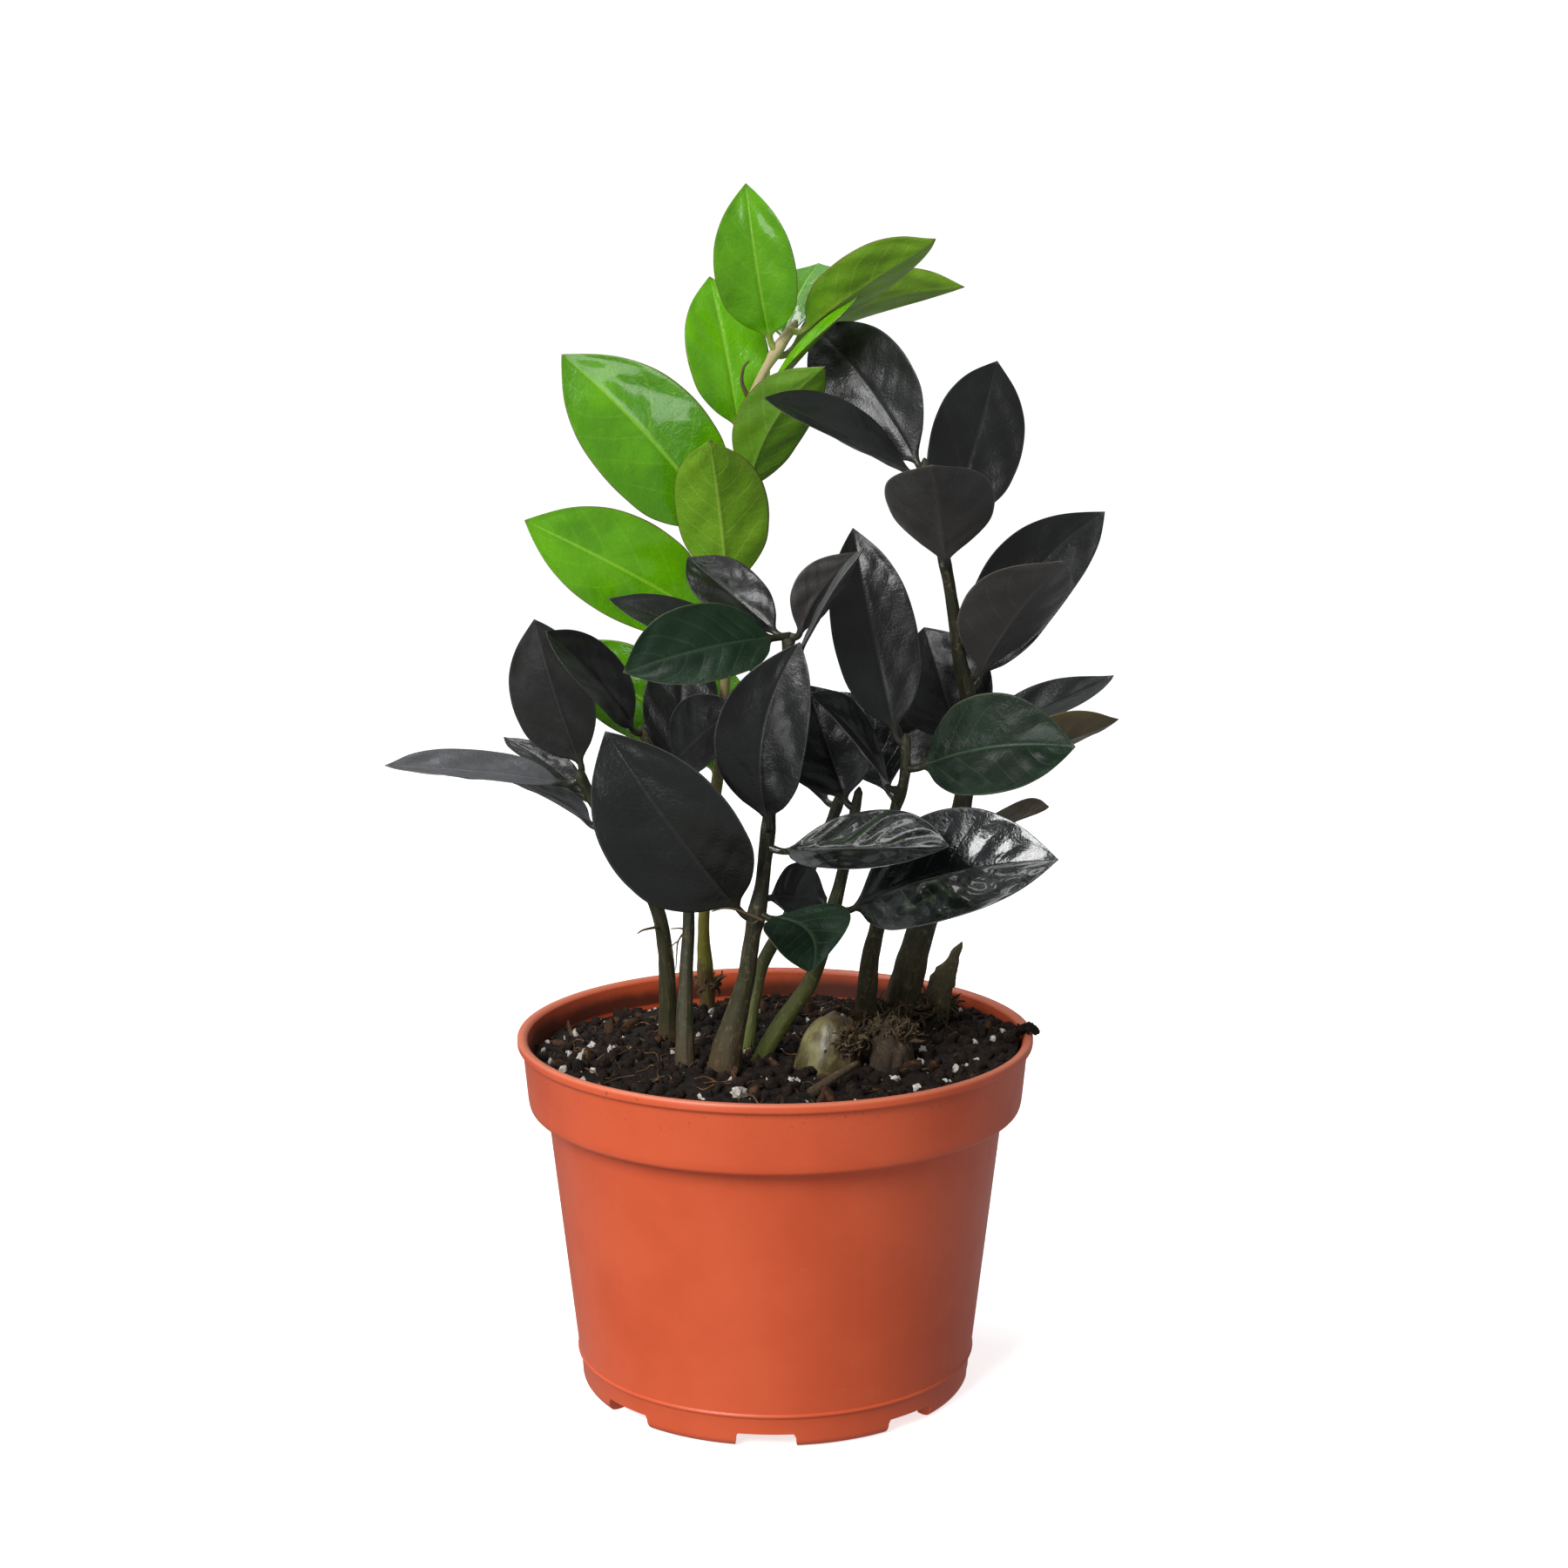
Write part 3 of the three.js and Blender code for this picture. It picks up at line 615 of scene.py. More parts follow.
def blade_surface(at, outline, quilt, wave, turns):
    """Where a blade's points lie to the side and up, for each place along it and each corner round
    it, and the phase of its veins there. turns are three random angles."""
    half, shift, middle, edge = (line[:, None] for line in outline)
    half = np.maximum(half, LEAST_HALF)
    side, face = np.abs(ROUND_BLADE)[None], UPPER[None]
    u, v = at[:, None], ROUND_BLADE[None]
    leafy = ease(u, BLADE_START, BLADE_FULL)
    thick = STALK * 2 + (BLADE - STALK * 2) * leafy
    thick = thick * (1 - EDGE_THINNING * side * leafy) * (1 - TIP_THINNING * ease(u, 0.8, 1))
    body = np.sqrt(np.maximum(0, 1 - side ** (2 + 8 * leafy)))
    height = middle + (edge - middle) * side * (0.45 + 0.55 * side)

    # Quilting between the veins, then soft dents, then waves of the margin.
    reach = ease(side, 0.03, 0.3) * (1 - ease(side, 0.75, 1)) * ease(u, 0.12, 0.3)
    reach = reach * (1 - ease(u, 0.8, 0.97))
    half_turn = 2 * (v > 0)
    phase = VEINS * (u - VEIN_LEAN * side**VEIN_CURVE) + 0.25 * half_turn
    phase = phase + VEIN_WARP * np.sin(u * 8 + turns[2] + half_turn)
    from_vein = np.abs(phase % 1 - 0.5) * 2
    uneven = 0.7 + 0.3 * np.sin(u * 13 + turns[0] + half_turn * 1.5)
    height = height + quilt * uneven * reach * (from_vein**0.75 - 0.55)
    dents = np.sin(u * 15 + v * 2 + turns[1]) * np.cos(v * 4.5 + u * 5 + turns[2])
    height = height + DENTS * dents * reach
    lift = np.sin(u * 7 + turns[0]) * (v > 0) + np.sin(u * 6 + turns[1]) * (v < 0)
    height = height + wave * lift * side**2 * leafy * (1 - ease(u, 0.85, 1))

    from_rib = side * half
    groove = GROOVE * np.exp(-((from_rib / GROOVE_WIDTH) ** 2)) * leafy * (1 - u**4)
    keel = KEEL * np.exp(-((from_rib / KEEL_WIDTH) ** 2)) * leafy * (1 - u)
    height = height + face * body * thick / 2 - np.where(face > 0, groove, keel)
    return shift + v * half, height, phase


def stalk_rings(root, outward, blade, across):
    """A stalk's rings of points: it bends from the stem's side into the blade's direction."""
    start = blade[0].mean(0)
    heading = unit(blade[1].mean(0) - start)
    pull = 0.45 * np.linalg.norm(start - root)
    t = np.linspace(0, 1, STALK_STEPS + 1)[:-1, None]
    bend = (
        (1 - t) ** 3 * root
        + 3 * t * (1 - t) ** 2 * (root + outward * pull)
        + 3 * t * t * (1 - t) * (start - heading * pull)
        + t**3 * start
    )
    towards = np.gradient(np.vstack([bend, start]), axis=0)[:-1]
    around = UPPER * np.sqrt(np.maximum(0, 1 - ROUND_BLADE**2))
    rings = []
    for i in reversed(range(STALK_STEPS)):
        tangent = unit(towards[i])
        across = unit(across - tangent * (across @ tangent))
        above = np.cross(across, tangent)
        radius = STALK * (1 + STALK_SWELL * (1 - i / STALK_STEPS) ** 3)
        ring = ROUND_BLADE[:, None] * across + around[:, None] * above
        rings.insert(0, bend[i] + radius * ring)
    return rings


def make_leaflet(node, name, tree, upper, under, slot, quilt, wave, seed):
    """A leaflet over its solid: a stalk that grows out of the stem, whose solid is in tree, and a
    thin, veined blade. quilt and wave are how far its veins and its margins rise and fall."""
    centre = sum(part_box(node), Vector()) / 2 / MM
    near = np.array(tree.find_nearest(centre)[0])
    for _ in range(3):
        base, axes, length, places, lines = blade_lines(node, near)
        near = np.array(tree.find_nearest(Vector(base))[0])
    across, ahead, up = axes
    chance = random.Random(seed)
    turns = [chance.uniform(0, 6.28) for _ in range(3)]
    tone = chance.random()

    at = 1 - (1 - np.linspace(0, 1, BLADE_STEPS)) ** 1.12
    at = BLADE_START + (BLADE_END - BLADE_START) * at
    outline = smooth_line(places, lines, at).T
    sideways, height, phase = blade_surface(at, outline, quilt, wave, turns)
    blade = base + (at[:, None] * length)[..., None] * ahead + sideways[..., None] * across
    blade = blade + height[..., None] * up
    touch = near
    outward = unit(base - touch)
    root = touch - outward * STALK_ROOT
    rings = np.concatenate([stalk_rings(root, outward, blade, across), blade])

    tip = base + ahead * length
    points = np.vstack([root[None], rings.reshape(-1, 3), tip[None]])
    stalk_at = np.linspace(-0.05, BLADE_START, STALK_STEPS + 1)[:-1]
    along = np.repeat(np.concatenate([stalk_at, at]), len(ROUND_BLADE))
    sides = np.tile(ROUND_BLADE, len(rings))
    marks = np.stack([along, sides, np.full(len(along), tone)], 1)
    marks = np.vstack([[(-0.05, 0, tone)], marks, [(1, 0, tone)]])
    before = np.zeros(1 + STALK_STEPS * len(ROUND_BLADE))
    veins = np.concatenate([before, phase.ravel(), [0]])
    faces = tube_faces(len(rings), len(ROUND_BLADE))
    per_strip = len(rings) + 1
    kinds = [0 if i // per_strip < len(ACROSS) - 1 else 1 for i in range(len(faces))]
    materials = [MATERIALS[upper], MATERIALS[under]]
    make_piece(name, points, faces, materials, slot, [node], marks, veins, kinds)
    return touch


# Every shoot: its stem's material and slot, its leaflets' upper and under materials and slot, and
# their quilting and wave in mm.
DARK_LEAVES = ("stem_dark", "dark_upper", "dark_under", "leaf_dark")
SHOOTS = {
    "green": ("stem_green", "stem_green", "green_upper", "green_under", "leaf_green", 0.12, 0.35),
    "left": ("stem_dark", *DARK_LEAVES, 0.22, 0.4),
    "centre_left": ("stem_dark", *DARK_LEAVES, 0.22, 0.4),
    "front": ("stem_dark", *DARK_LEAVES, 0.3, 0.4),
    "back": ("stem_tinged", *DARK_LEAVES, 0.25, 0.4),
    "low": ("stem_tinged", *DARK_LEAVES, 0.3, 0.4),
    "middle": ("stem_dark", *DARK_LEAVES, 0.25, 0.4),
    "tall": ("stem_dark", *DARK_LEAVES, 0.2, 0.4),
}
# Leaflets that differ from the rest of their shoot.
UNDER_LOOKS = {
    # leaf_green_7's underside is painted darker: painted shade.
    "leaf_green_7": "shaded_green_under",
    "leaf_tall_9": "olive_under",
    "leaf_tall_10": "olive_under",
}
UPPER_LOOKS = {
    "leaf_front_2": "gloss_upper",
    "leaf_front_4": "deep_upper",
    "leaf_front_6": "reflection_grey_upper",
    # The grey upper sides of front_6, left_2 and left_3 are a painted reflection.
    "leaf_front_8": "deep_upper",
    "leaf_left_1": "matte_upper",
    "leaf_left_2": "reflection_grey_upper",
    "leaf_left_3": "reflection_grey_upper",
    "leaf_low_1": "gloss_upper",
    "leaf_middle_3": "gloss_upper",
    "leaf_middle_4": "deep_upper",
}
QUILTED = {"leaf_low_1": 0.85, "leaf_front_2": 0.7, "leaf_front_8": 0.5, "leaf_middle_4": 0.4}

for number, (shoot, looks) in enumerate(SHOOTS.items()):
    stem_material, stem_slot, upper, under, leaf_slot, quilt, wave = looks
    stem_node = f"stem_{shoot}"
    tree = solid_tree(stem_node)
    joints = []
    leaf_nodes = [n for n in sorted(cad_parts) if n.startswith(f"leaf_{shoot}_")]
    leaf_nodes = [n for n in leaf_nodes if n[len(f"leaf_{shoot}_") :].isdigit()]
    for leaf_node in leaf_nodes:
        index = int(leaf_node.rsplit("_", 1)[1])
        touch = make_leaflet(
            leaf_node,
            f"leaflet_{shoot}_{index}",
            tree,
            UPPER_LOOKS.get(leaf_node, upper),
            UNDER_LOOKS.get(leaf_node, under),
            "leaf_olive" if UNDER_LOOKS.get(leaf_node) == "olive_under" else leaf_slot,
            QUILTED.get(leaf_node, quilt),
            wave,
            seed=100 * number + index,
        )
        joints.append(touch)
    make_stem(stem_node, f"stalk_{shoot}", stem_material, joints, stem_slot)

make_stem("dry_stub", "dried_stub", "husk", [], "husk", wrinkle=0.16, ragged=0.5)


# ---- Tuber and old stem base -----------------------------------------------------------------


def make_mound(node, name, material, slot, creases, depth, shag):
    """A lumpy, creased body over an egg-shaped solid. shag(x) is how torn it is, x mm to the right
    of its middle."""
    low, high = (np.array(corner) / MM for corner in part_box(node))
    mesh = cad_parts[node].data
    raw = np.array([vertex.co for vertex in mesh.vertices]) / MM
    centre = (low + high) / 2
    _, spread, axes = np.linalg.svd(np.unique(np.round(raw, 3), axis=0) - centre)
    reach = [np.abs((raw - centre) @ axis).max() for axis in axes]
    rows, columns = 44, 56
    points = [centre + axes[0] * reach[0]]
    for i in range(1, rows):
        lean = math.pi * i / rows
        for k in range(columns):
            turn = 2 * math.pi * k / columns
            ball = np.array(
                (math.cos(lean), math.sin(lean) * math.cos(turn), math.sin(lean) * math.sin(turn))
            )
            point = centre + (ball * reach) @ axes
            lump = 0.08 * ripple(point, 9) + 0.04 * ripple(point, 4, 5.0)
            lump += shag(point[0] - centre[0]) * ripple(point * (1, 1, 0.3), 1.7, 7.0)
            fold = depth * (abs(math.sin(turn * creases + 2 * ripple(point, 8, 2.0))) - 0.6)
            points.append(centre + (point - centre) * (1 + lump + fold * math.sin(lean) ** 2))
    points.append(centre - axes[0] * reach[0])
    faces = tube_faces(rows - 1, columns)
    if np.linalg.det(axes) > 0:
        faces = [face[::-1] for face in faces]
    grain = np.array(points) - centre
    make_piece(name, points, faces, [MATERIALS[material]], slot, [node], places=grain)


make_mound(
    "tuber", "tuber_body", "tuber", "tuber", 2.5, 0.05, lambda x: 0.2 * float(ease(x, 1, 5))
)
make_mound("old_stem_base", "old_base", "old_husk", "husk", 7, 0.08, lambda x: 0.16)


# ---- Pot -------------------------------------------------------------------------------------

POT_SEGMENTS = 224
DRAIN_SIDES = 28
# A notch's outline: places across it as shares of half its width, and heights.
NOTCH_SHAPE = ((-1.05, -3), (1.05, -3), (1, 3.3), (0.93, 4.4), (-0.93, 4.4), (-1, 3.3))
SHARP_EDGE = math.radians(42)


def rounded(corners):
    """A profile of [radius, height, rounding] corners, each rounded with short steps."""
    result = []
    for i, (x, y, size) in enumerate(corners):
        here = np.array((x, y), float)
        if not size or i in (0, len(corners) - 1):
            result.append(here)
            continue
        back = np.array(corners[i - 1][:2], float) - here
        on = np.array(corners[i + 1][:2], float) - here
        a = here + unit(back) * min(size, 0.45 * np.linalg.norm(back))
        b = here + unit(on) * min(size, 0.45 * np.linalg.norm(on))
        for t in (0, 0.25, 0.5, 0.75, 1):
            result.append((1 - t) ** 2 * a + 2 * t * (1 - t) * here + t * t * b)
    return result


def lathe(profile, segments):
    """Points and faces of a closed ring-shaped section turned round the axis."""
    points, faces = [], []
    count = len(profile)
    for k in range(segments):
        turn = 2 * math.pi * k / segments
        points += [(r * math.cos(turn), r * math.sin(turn), z) for r, z in profile]
    for k in range(segments):
        a, b = k * count, (k + 1) % segments * count
        for i in range(count):
            j = (i + 1) % count
            faces.append((a + i, b + i, b + j, a + j))
    return points, faces


def cut_away(pot, name, turn, corners):
    """Takes a prism out of the pot. corners are those of its ends before it is turned about Z."""
    points = []
    for x, y, z in corners:
        across = x * math.cos(turn) - y * math.sin(turn)
        points.append((across, x * math.sin(turn) + y * math.cos(turn), z))
    count = len(points) // 2
    faces = [(k, (k + 1) % count, count + (k + 1) % count, count + k) for k in range(count)]
    faces += [tuple(range(count - 1, -1, -1)), tuple(range(count, 2 * count))]
    cut = pot.modifiers.new(name, "BOOLEAN")
    cut.operation, cut.solver = "DIFFERENCE", "EXACT"
    cut.object = add_object(name, np.array(points) * MM, faces)


def make_pot():
    """The pot: lip, collar, tapering wall with a fine line near the foot, foot ring and floor."""
    step = POT_HEIGHT - COLLAR_HEIGHT
    body = COLLAR_RADIUS - COLLAR_STEP
    lip = RIM_RADIUS - LIP_OVERHANG
    inner = COLLAR_RADIUS - WALL
    foot = BASE_RADIUS - FOOT_TAPER
    profile = rounded(
        [
            (1, FLOOR_HEIGHT, 0),
            (foot - 5.6, FLOOR_HEIGHT, 0.6),
            (foot - 5.6, 0, 0.4),
            (foot - 3.2, 0, 0),
            (foot - 1.2, 0.5, 0.8),
            (foot - 0.2, 1.9, 0.8),
            (foot + 0.05, FOOT_HEIGHT - 4, 0),
            (BASE_RADIUS - 0.3, FOOT_HEIGHT - 0.7, 0.1),
            (BASE_RADIUS + 0.35, FOOT_HEIGHT - 0.2, 0.2),
            (BASE_RADIUS + 0.35, FOOT_HEIGHT + 0.3, 0.2),
            (BASE_RADIUS + 0.02, FOOT_HEIGHT + 0.7, 0.1),
            (body, step, 0.8),
            (COLLAR_RADIUS - 0.4, step + 1.5, 1.6),
            (COLLAR_RADIUS + 0.1, step + 3.6, 1.2),
            (lip, POT_HEIGHT - 3.1, 0.5),
            (RIM_RADIUS - 0.1, POT_HEIGHT - 2.6, 0.6),
            (RIM_RADIUS, POT_HEIGHT, 1),
            (RIM_RADIUS - 2, POT_HEIGHT, 0.6),
            (lip - WALL, POT_HEIGHT - 1, 0.4),
            (inner, step + 5, 1.5),
            (inner - COLLAR_STEP, step + 1, 1.5),
            (BASE_RADIUS - WALL, FOOT_HEIGHT + 2, 2),
            (foot - 3.5, FLOOR_HEIGHT + WALL, 1.5),
            (1, FLOOR_HEIGHT + WALL, 0),
        ]
    )
    points, faces = lathe(profile, POT_SEGMENTS)
    pot = make_piece("nursery_pot", points, faces, [MATERIALS["pot"]], "pot", ["pot"])
    for n in range(NOTCH_COUNT):
        turn = NOTCH_TURN + n * 2 * math.pi / NOTCH_COUNT
        ends = (BASE_RADIUS - 8, BASE_RADIUS + 4)
        notch = [(x * NOTCH_WIDTH / 2, -end, z) for end in ends for x, z in NOTCH_SHAPE]
        cut_away(pot, f"notch_{n}", turn, notch)
        angles = [2 * math.pi * k / DRAIN_SIDES for k in range(DRAIN_SIDES)]
        circle = [(DRAIN_RADIUS * math.cos(a), DRAIN_RADIUS * math.sin(a)) for a in angles]
        ends = (FLOOR_HEIGHT - 1.5, FLOOR_HEIGHT + WALL + 1.5)
        drain = [(x, y - DRAIN_CIRCLE, end) for end in ends for x, y in circle]
        cut_away(pot, f"drain_{n}", turn, drain)
    depsgraph = bpy.context.evaluated_depsgraph_get()
    finished = bpy.data.meshes.new_from_object(pot.evaluated_get(depsgraph))
    for cut in list(pot.modifiers):
        tool = cut.object
        pot.modifiers.remove(cut)
        bpy.data.objects.remove(tool)
    pot.data = finished
    finished.shade_smooth()
    finished.set_sharp_from_angle(angle=SHARP_EDGE)


make_pot()


# ---- Potting mix -----------------------------------------------------------------------------

dice = random.Random(23)


def soil_height(x, y):
    """The level of the mix: the solid's, lower at the back and heaped at the right of the rim."""
    reach = min(1, math.hypot(x, y) / (RIM_RADIUS - 6))
    level = SOIL_LEVEL + SOIL_MOUND * (1 - reach * reach) + 0.012 * x
    level += 0.7 * math.sin(x / 9 + 1) * math.cos(y / 11)
    level -= 2.6 * float(ease(y, 25, 70)) * float(ease(reach, 0.5, 1))
    level += 3.2 * float(ease(x, 28, 66))
    level += 2.5 * math.exp(-(((x - 70) / 13) ** 2 + ((y + 4) / 10) ** 2))
    return level


def lumpy_soil(x, y):
    point = (x, y, 0)
    lumps = 1.1 * ripple(point, 6) + 0.7 * ripple(point, 2.7, 4.0) + 0.45 * ripple(point, 1.3, 8.0)
    return soil_height(x, y) + lumps


SOIL_RINGS, SOIL_COLUMNS = 84, 264
# The outside of the mix below its top: radius and height, downwards.
SOIL_BODY = ((SOIL_RADIUS - 1, 89), (65, 83), (57, 12.4), (53.6, 6.8))


def make_soil():
    """The bed of mix: a lumpy top on a plain body that fills the pot."""
    turns = [-2 * math.pi * k / SOIL_COLUMNS for k in range(SOIL_COLUMNS)]
    points = [(0, 0, lumpy_soil(0, 0))]
    for i in range(1, SOIL_RINGS + 1):
        radius = SOIL_RADIUS * i / SOIL_RINGS
        for turn in turns:
            x, y = radius * math.cos(turn), radius * math.sin(turn)
            points.append((x, y, lumpy_soil(x, y)))
    for radius, z in SOIL_BODY:
        points += [(radius * math.cos(turn), radius * math.sin(turn), z) for turn in turns]
    points.append((0, 0, SOIL_BODY[-1][1]))
    faces = tube_faces(SOIL_RINGS + len(SOIL_BODY), SOIL_COLUMNS)
    make_piece("potting_mix", points, faces, [MATERIALS["soil"]], "soil", ["soil"])


BALL_STEPS, BALL_TURNS = 5, 8
LUMP_FACES = [face[::-1] for face in tube_faces(BALL_STEPS - 1, BALL_TURNS)]


def lump(centre, size, rough, seed):
    """Points of a rough, squashed lump, for LUMP_FACES."""
    turn_it = Euler([dice.uniform(0, 6.28) for _ in range(3)]).to_matrix()
    points = []
    for i in range(BALL_STEPS + 1):
        lean = math.pi * i / BALL_STEPS
        for k in range(BALL_TURNS if 0 < i < BALL_STEPS else 1):
            turn = 2 * math.pi * (k + 0.5 * (i % 2)) / BALL_TURNS
            wide = math.sin(lean)
            ball = Vector((wide * math.cos(turn), wide * math.sin(turn), math.cos(lean)))
            grow = 1 + rough * ripple(ball, 0.6, seed)
            spot = turn_it @ Vector([b * s * grow for b, s in zip(ball, size)])
            points.append(tuple(c + s for c, s in zip(centre, spot)))
    return points


def spot_on_soil(limit=SOIL_RADIUS - 1.5):
    while True:
        x, y = dice.uniform(-limit, limit), dice.uniform(-limit, limit)
        if math.hypot(x, y) < limit:
            return x, y


def scatter(name, material, count, sizes, flat, rough, proud, extra=(), angular=False):
    """Many rough lumps lying in the mix, and extra ones at (x, y, size), as one piece. flat is the
    range of their width and thickness as shares of their size, proud how much of each shows."""
    lumps = []
    spots = [(*spot_on_soil(), dice.uniform(*sizes) ** 2 / sizes[1]) for _ in range(count)]
    for n, (x, y, size) in enumerate([*spots, *extra]):
        shape = (size, size * dice.uniform(*flat[0]), size * dice.uniform(*flat[1]))
        z = lumpy_soil(x, y) + proud * min(shape) - 0.2
        lumps.append((lump((x, y, z), shape, rough, n * 1.7), LUMP_FACES))
    piece = make_piece(name, *joined(lumps), [MATERIALS[material]], "soil")
    if angular:
        piece.data.shade_flat()


def rim_clump(count):
    """A clump of wet mix that hangs over the rim at the right."""
    lumps = []
    for n in range(count):
        along = dice.random()
        x, y = 62 + 15 * along, -4 + dice.uniform(-6, 5) * (1.15 - along)
        z = 103.5 + 4.2 * min(1, 1.6 * along) + dice.uniform(-1.5, 0.8)
        size = dice.uniform(0.6, 2.2) * (1.2 - 0.6 * along)
        shape = (size, size * 0.8, size * 0.6)
        lumps.append((lump((x, y, z), shape, 0.55, n * 2.3), LUMP_FACES))
    make_piece("rim_clump", *joined(lumps), [MATERIALS["clods"]], "soil")


def strand(path, radius, corners=5):
    """Points and faces of a thin strand along a few points."""
    path = np.array(path, float)
    at = np.linspace(0, len(path) - 1, 5 * len(path))
    line = smooth_line(np.arange(len(path)), path, at)

    def radius_at(i, turn, point):
        return radius * (1 - 0.6 * i / len(line))

    points, _ = round_bar(line, radius_at, corners)
    return points.tolist(), tube_faces(len(line), corners)


def gather(name, material, slot, strands):
    """Several strands as one piece."""
    points, faces = joined(strands)
    make_piece(name, points, faces, [MATERIALS[material]], slot, places=points)


def soil_fibres(count):
    """Thin roots and coir threads that lie on the mix."""
    for _ in range(count):
        x, y = spot_on_soil(SOIL_RADIUS - 10)
        heading, length = dice.uniform(0, 6.28), dice.uniform(6, 16)
        path = []
        for step in range(5):
            path.append((x, y, lumpy_soil(x, y) + 0.3 + dice.uniform(0, 1.2)))
            heading += dice.uniform(-0.7, 0.7)
            x += math.cos(heading) * length / 4
            y += math.sin(heading) * length / 4
        yield strand(path, dice.uniform(0.12, 0.3))


def shreds(x, y, z, spread, rise, count):
    """Torn husk fibres round a foot at a place."""
    for _ in range(count):
        turn, reach = dice.uniform(0, 6.28), spread * dice.uniform(0.6, 1)
        out = np.array((math.cos(turn), math.sin(turn), 0))
        spot = (x, y, z + dice.uniform(-2, 2)) + reach * out
        heading = 0.6 * out + (0, 0, dice.uniform(-0.2, 1))
        path = [spot]
        for _ in range(4):
            heading = unit(heading + [dice.uniform(-0.7, 0.7) for _ in range(3)])
            spot = spot + heading * rise / 4 * dice.uniform(0.5, 1.2)
            path.append(spot)
        yield strand(path, dice.uniform(0.2, 0.8))


make_soil()
scatter("soil_clods", "clods", 1900, (0.5, 2.6), ((0.6, 1), (0.5, 0.9)), 0.55, 0.3)
scatter("bark_chips", "bark", 150, (1.2, 5), ((0.3, 0.5), (0.12, 0.3)), 0.4, 0.5)
rim_clump(90)
BIG_GRAINS = (
    (-57, -11, 2.8), (-48, -2, 2.6), (-10, -49, 3), (-39, 28, 2.2), (43, -15, 2), (52, -31, 2),
)
GRAIN_SHAPE = ((0.55, 1), (0.4, 0.8))
scatter("perlite_grains", "perlite", 260, (0.3, 1.9), GRAIN_SHAPE, 0.6, 0.4, BIG_GRAINS, True)
gather("soil_fibres", "fibre", "soil", soil_fibres(110))

# Torn husk at the feet: place, how far out it starts, how long it is and how many fibres.
FEET = [
    (34, -22, 111, 5, 5, 110), (29, 4, 107, 4.5, 7, 90), (38, 15, 107, 7, 7, 150),
    (47, 20, 107, 5.5, 7, 90), (21, -25, 109, 4, 5, 110), (24, -10, 106, 3, 5, 40),
    (-15, -28, 101, 4.5, 3, 40), (-21, 39, 110, 3, 4, 40), (-31, 8, 100, 3.5, 3, 25),
    (-26, -22, 100, 3.5, 3, 25),
]
gather("husk_shreds", "shreds", "husk", [one for foot in FEET for one in shreds(*foot)])

# Dried remains, as paths and radii: wisps by the left stems, tendrils on the front stem, a bract on
# the young one and a root in front of the tuber.
WISPS = [
    ([(-33, 5, 136), (-35, 0, 137), (-38.3, -5, 137.4), (-40, -6, 136.6)], 0.55),
    ([(-25.5, -9, 138), (-27.5, -8, 138.6), (-30.3, -6, 138)], 0.4),
    ([(-25.5, -9.5, 139), (-28.1, -8.5, 135), (-28.6, -8.5, 131), (-28.9, -8.3, 126.5)], 0.35),
    ([(-28.1, -8.5, 135), (-30.2, -6, 132.5), (-29.5, -7, 129)], 0.25),
    ([(-2.8, -35, 147), (-9.6, -37, 150.4), (-14, -39, 151.6), (-17.4, -41, 151.2)], 0.45),
    ([(-4, -34.5, 147.5), (-6.5, -36, 146.5), (-8, -37, 147.6)], 0.3),
    ([(-8, 12, 291), (-9.5, 11, 295), (-9, 10, 299), (-7.5, 10, 301)], 0.7),
    ([(9.8, -50, 101), (16, -46, 104.5), (23.3, -40, 107.4)], 1.9),
]
gather("dried_wisps", "shreds", "husk", [strand(*wisp) for wisp in WISPS])


# ---- Floor, light and camera -----------------------------------------------------------------

# The studio, in metres.
FLOOR_SEGMENTS = 96
FLOOR_RADIUS = 2.4
BEND_RADIUS = 1
WALL_TOP = 5

# Area lights: place, target, size, power.
LIGHTS = {
    "key": ((-0.75, -1.15, 1.1), (0, 0, 0.16), (0.75, 0.75), 27),
    "window": ((-0.45, 0.32, 1.2), (0, 0, 0.2), (0.6, 0.5), 6),
    "low": ((-0.34, -0.64, 0.03), (-0.03, 0, 0.28), (0.22, 0.26), 0.95),
}
SKY_COLOUR, SKY_STRENGTH = (0.95, 0.97, 1, 1), 0.34

CAMERA_PLACE = (0.0026, -0.7663, 0.3176)
CAMERA_TILT = 0.178  # downwards, in radians
CAMERA_LENS, CAMERA_SENSOR = 61.5, 36


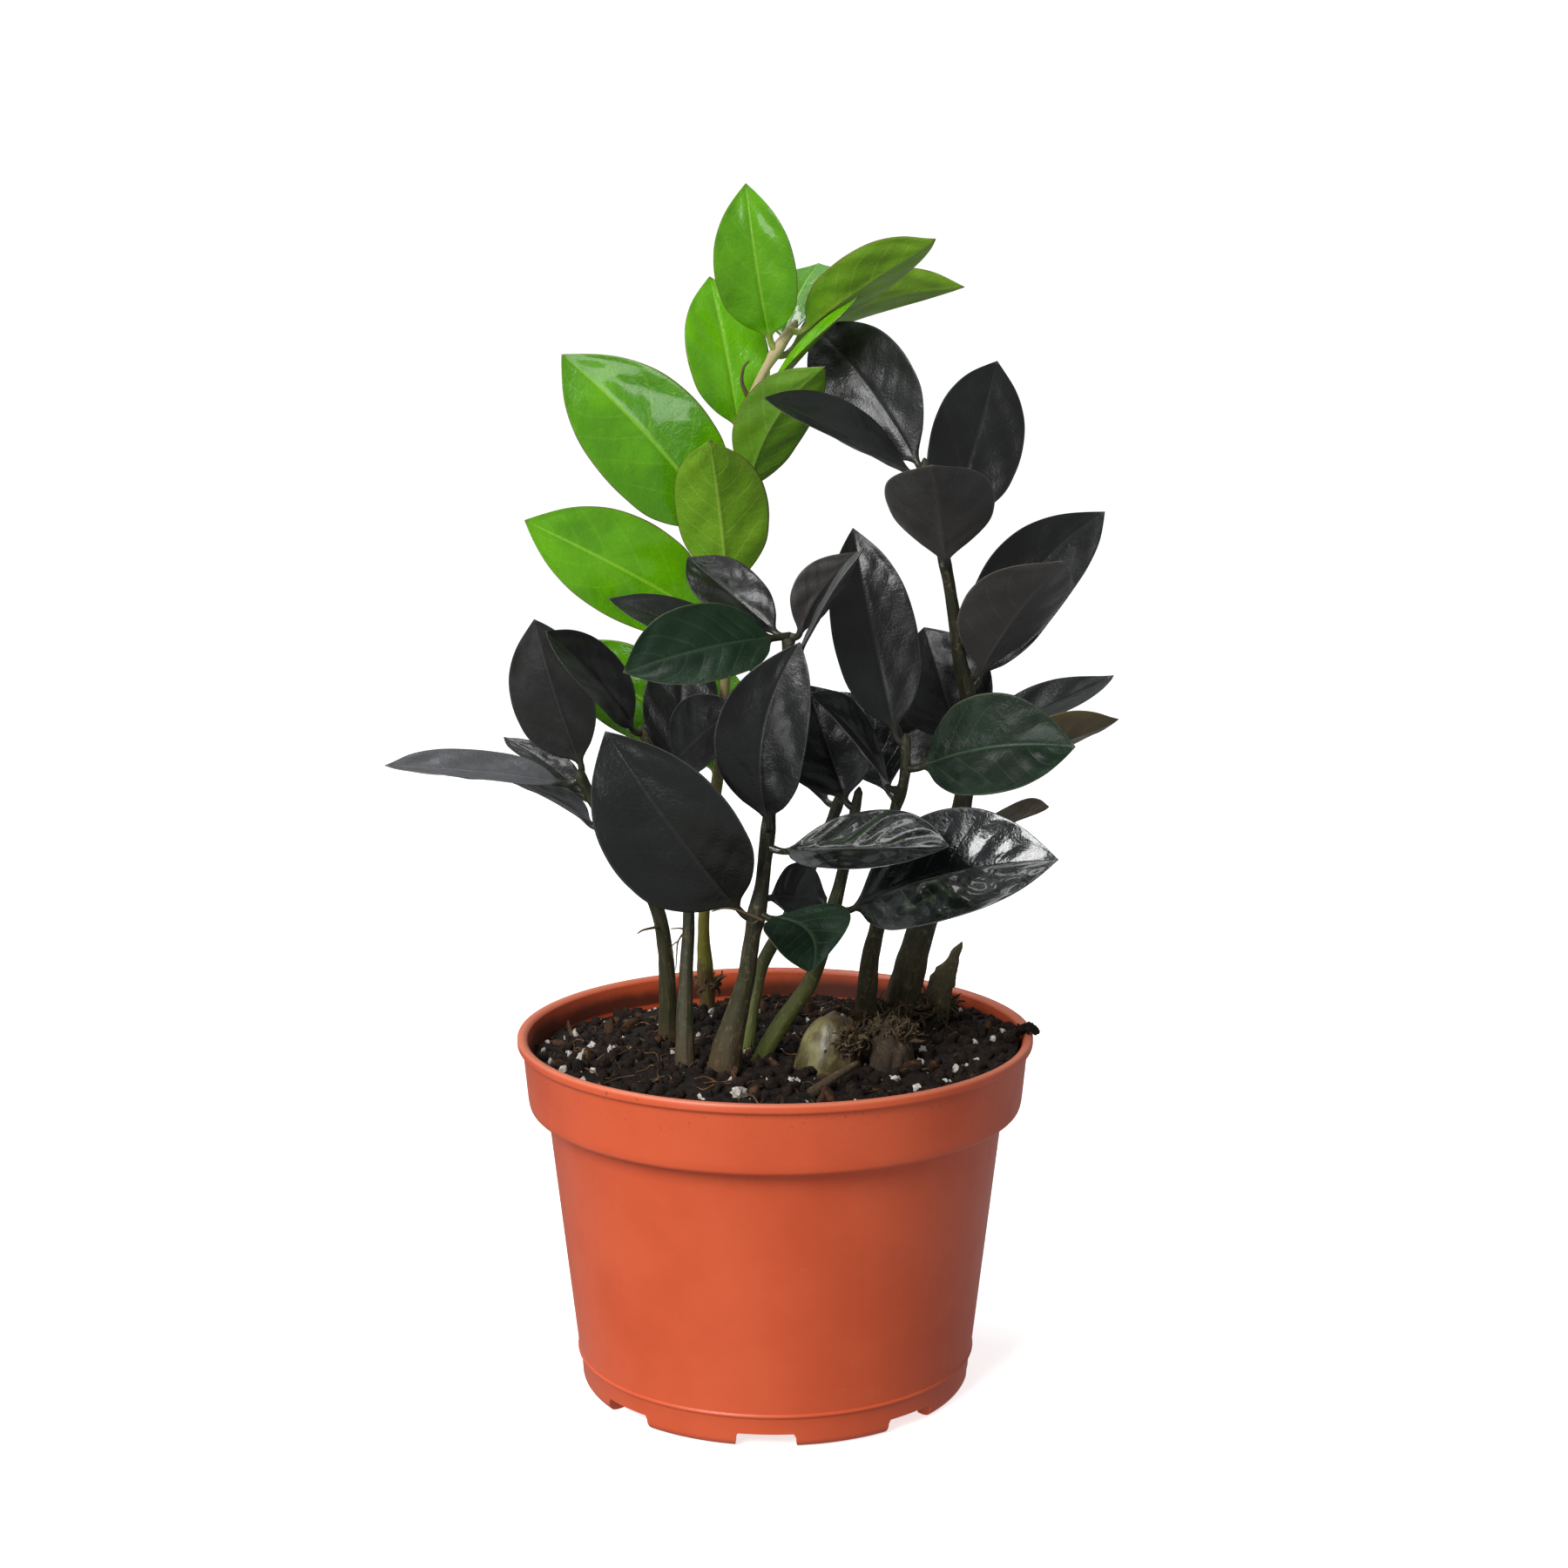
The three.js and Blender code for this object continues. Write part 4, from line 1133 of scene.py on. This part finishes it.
def make_round(name, profile, material, shadow):
    """A surface of the studio: (radius, height) points turned round the plant."""
    turns = np.linspace(0, 2 * math.pi, FLOOR_SEGMENTS, endpoint=False)
    points = [(r * math.cos(t), r * math.sin(t), z) for r, z in profile for t in turns]
    faces = []
    for ring in range(len(profile) - 1):
        for k in range(FLOOR_SEGMENTS):
            start = ring * FLOOR_SEGMENTS
            a, b = start + k, start + (k + 1) % FLOOR_SEGMENTS
            faces.append((a, a + FLOOR_SEGMENTS, b + FLOOR_SEGMENTS, b))
    surface = add_object(name, np.array(points), faces, [material])
    surface.visible_glossy = surface.visible_diffuse = False
    surface.visible_shadow = shadow
    surface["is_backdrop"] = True


def make_floor():
    """A plain pale floor that curves up into a wall all round."""
    p = Paint("floor_white", Roughness=0.9, Specular_IOR_Level=0.1, Emission_Strength=0.7)
    p.shader.inputs["Emission Color"].default_value = (1, 1, 1, 1)
    cloth = p.noise(p.where()[0], 3, 2)
    p.paint("Base Color", p.blend(cloth, colour("f4f4f4"), colour("f8f8f8")))
    make_round("floor", [(MM, 0), (FLOOR_RADIUS / 2, 0), (FLOOR_RADIUS, 0)], p.material, True)
    backdrop = [
        (FLOOR_RADIUS + BEND_RADIUS * math.sin(turn), BEND_RADIUS * (1 - math.cos(turn)))
        for turn in np.linspace(0, math.pi / 2, 14)
    ]
    backdrop.append((FLOOR_RADIUS + BEND_RADIUS, WALL_TOP))
    make_round("backdrop", backdrop, p.material, False)


def add_light(name, place, target, size, power):
    lamp = bpy.data.lights.new(name, "AREA")
    lamp.shape, lamp.size, lamp.size_y = "RECTANGLE", size[0], size[1]
    lamp.energy = power
    holder = bpy.data.objects.new(name, lamp)
    holder.location = place
    direction = Vector(target) - Vector(place)
    holder.rotation_euler = direction.to_track_quat("-Z", "Y").to_euler()
    bpy.context.scene.collection.objects.link(holder)


make_floor()
for light_name, settings in LIGHTS.items():
    add_light(light_name, *settings)
world = bpy.data.worlds.new("studio")
world.use_nodes = True
world.node_tree.nodes["Background"].inputs["Color"].default_value = SKY_COLOUR
world.node_tree.nodes["Background"].inputs["Strength"].default_value = SKY_STRENGTH
bpy.context.scene.world = world
bpy.context.scene.view_settings.view_transform = "Standard"

camera = bpy.data.objects.new("camera", bpy.data.cameras.new("camera"))
camera.location = CAMERA_PLACE
camera.rotation_euler = (math.pi / 2 - CAMERA_TILT, 0, 0)
camera.data.sensor_width = CAMERA_SENSOR
camera.data.lens = CAMERA_LENS
bpy.context.scene.collection.objects.link(camera)
bpy.context.scene.camera = camera

visual_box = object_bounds()
boxes = {"cad": cad_box, "visual": visual_box}
{key: [list(corner) for corner in box] for key, box in boxes.items()}
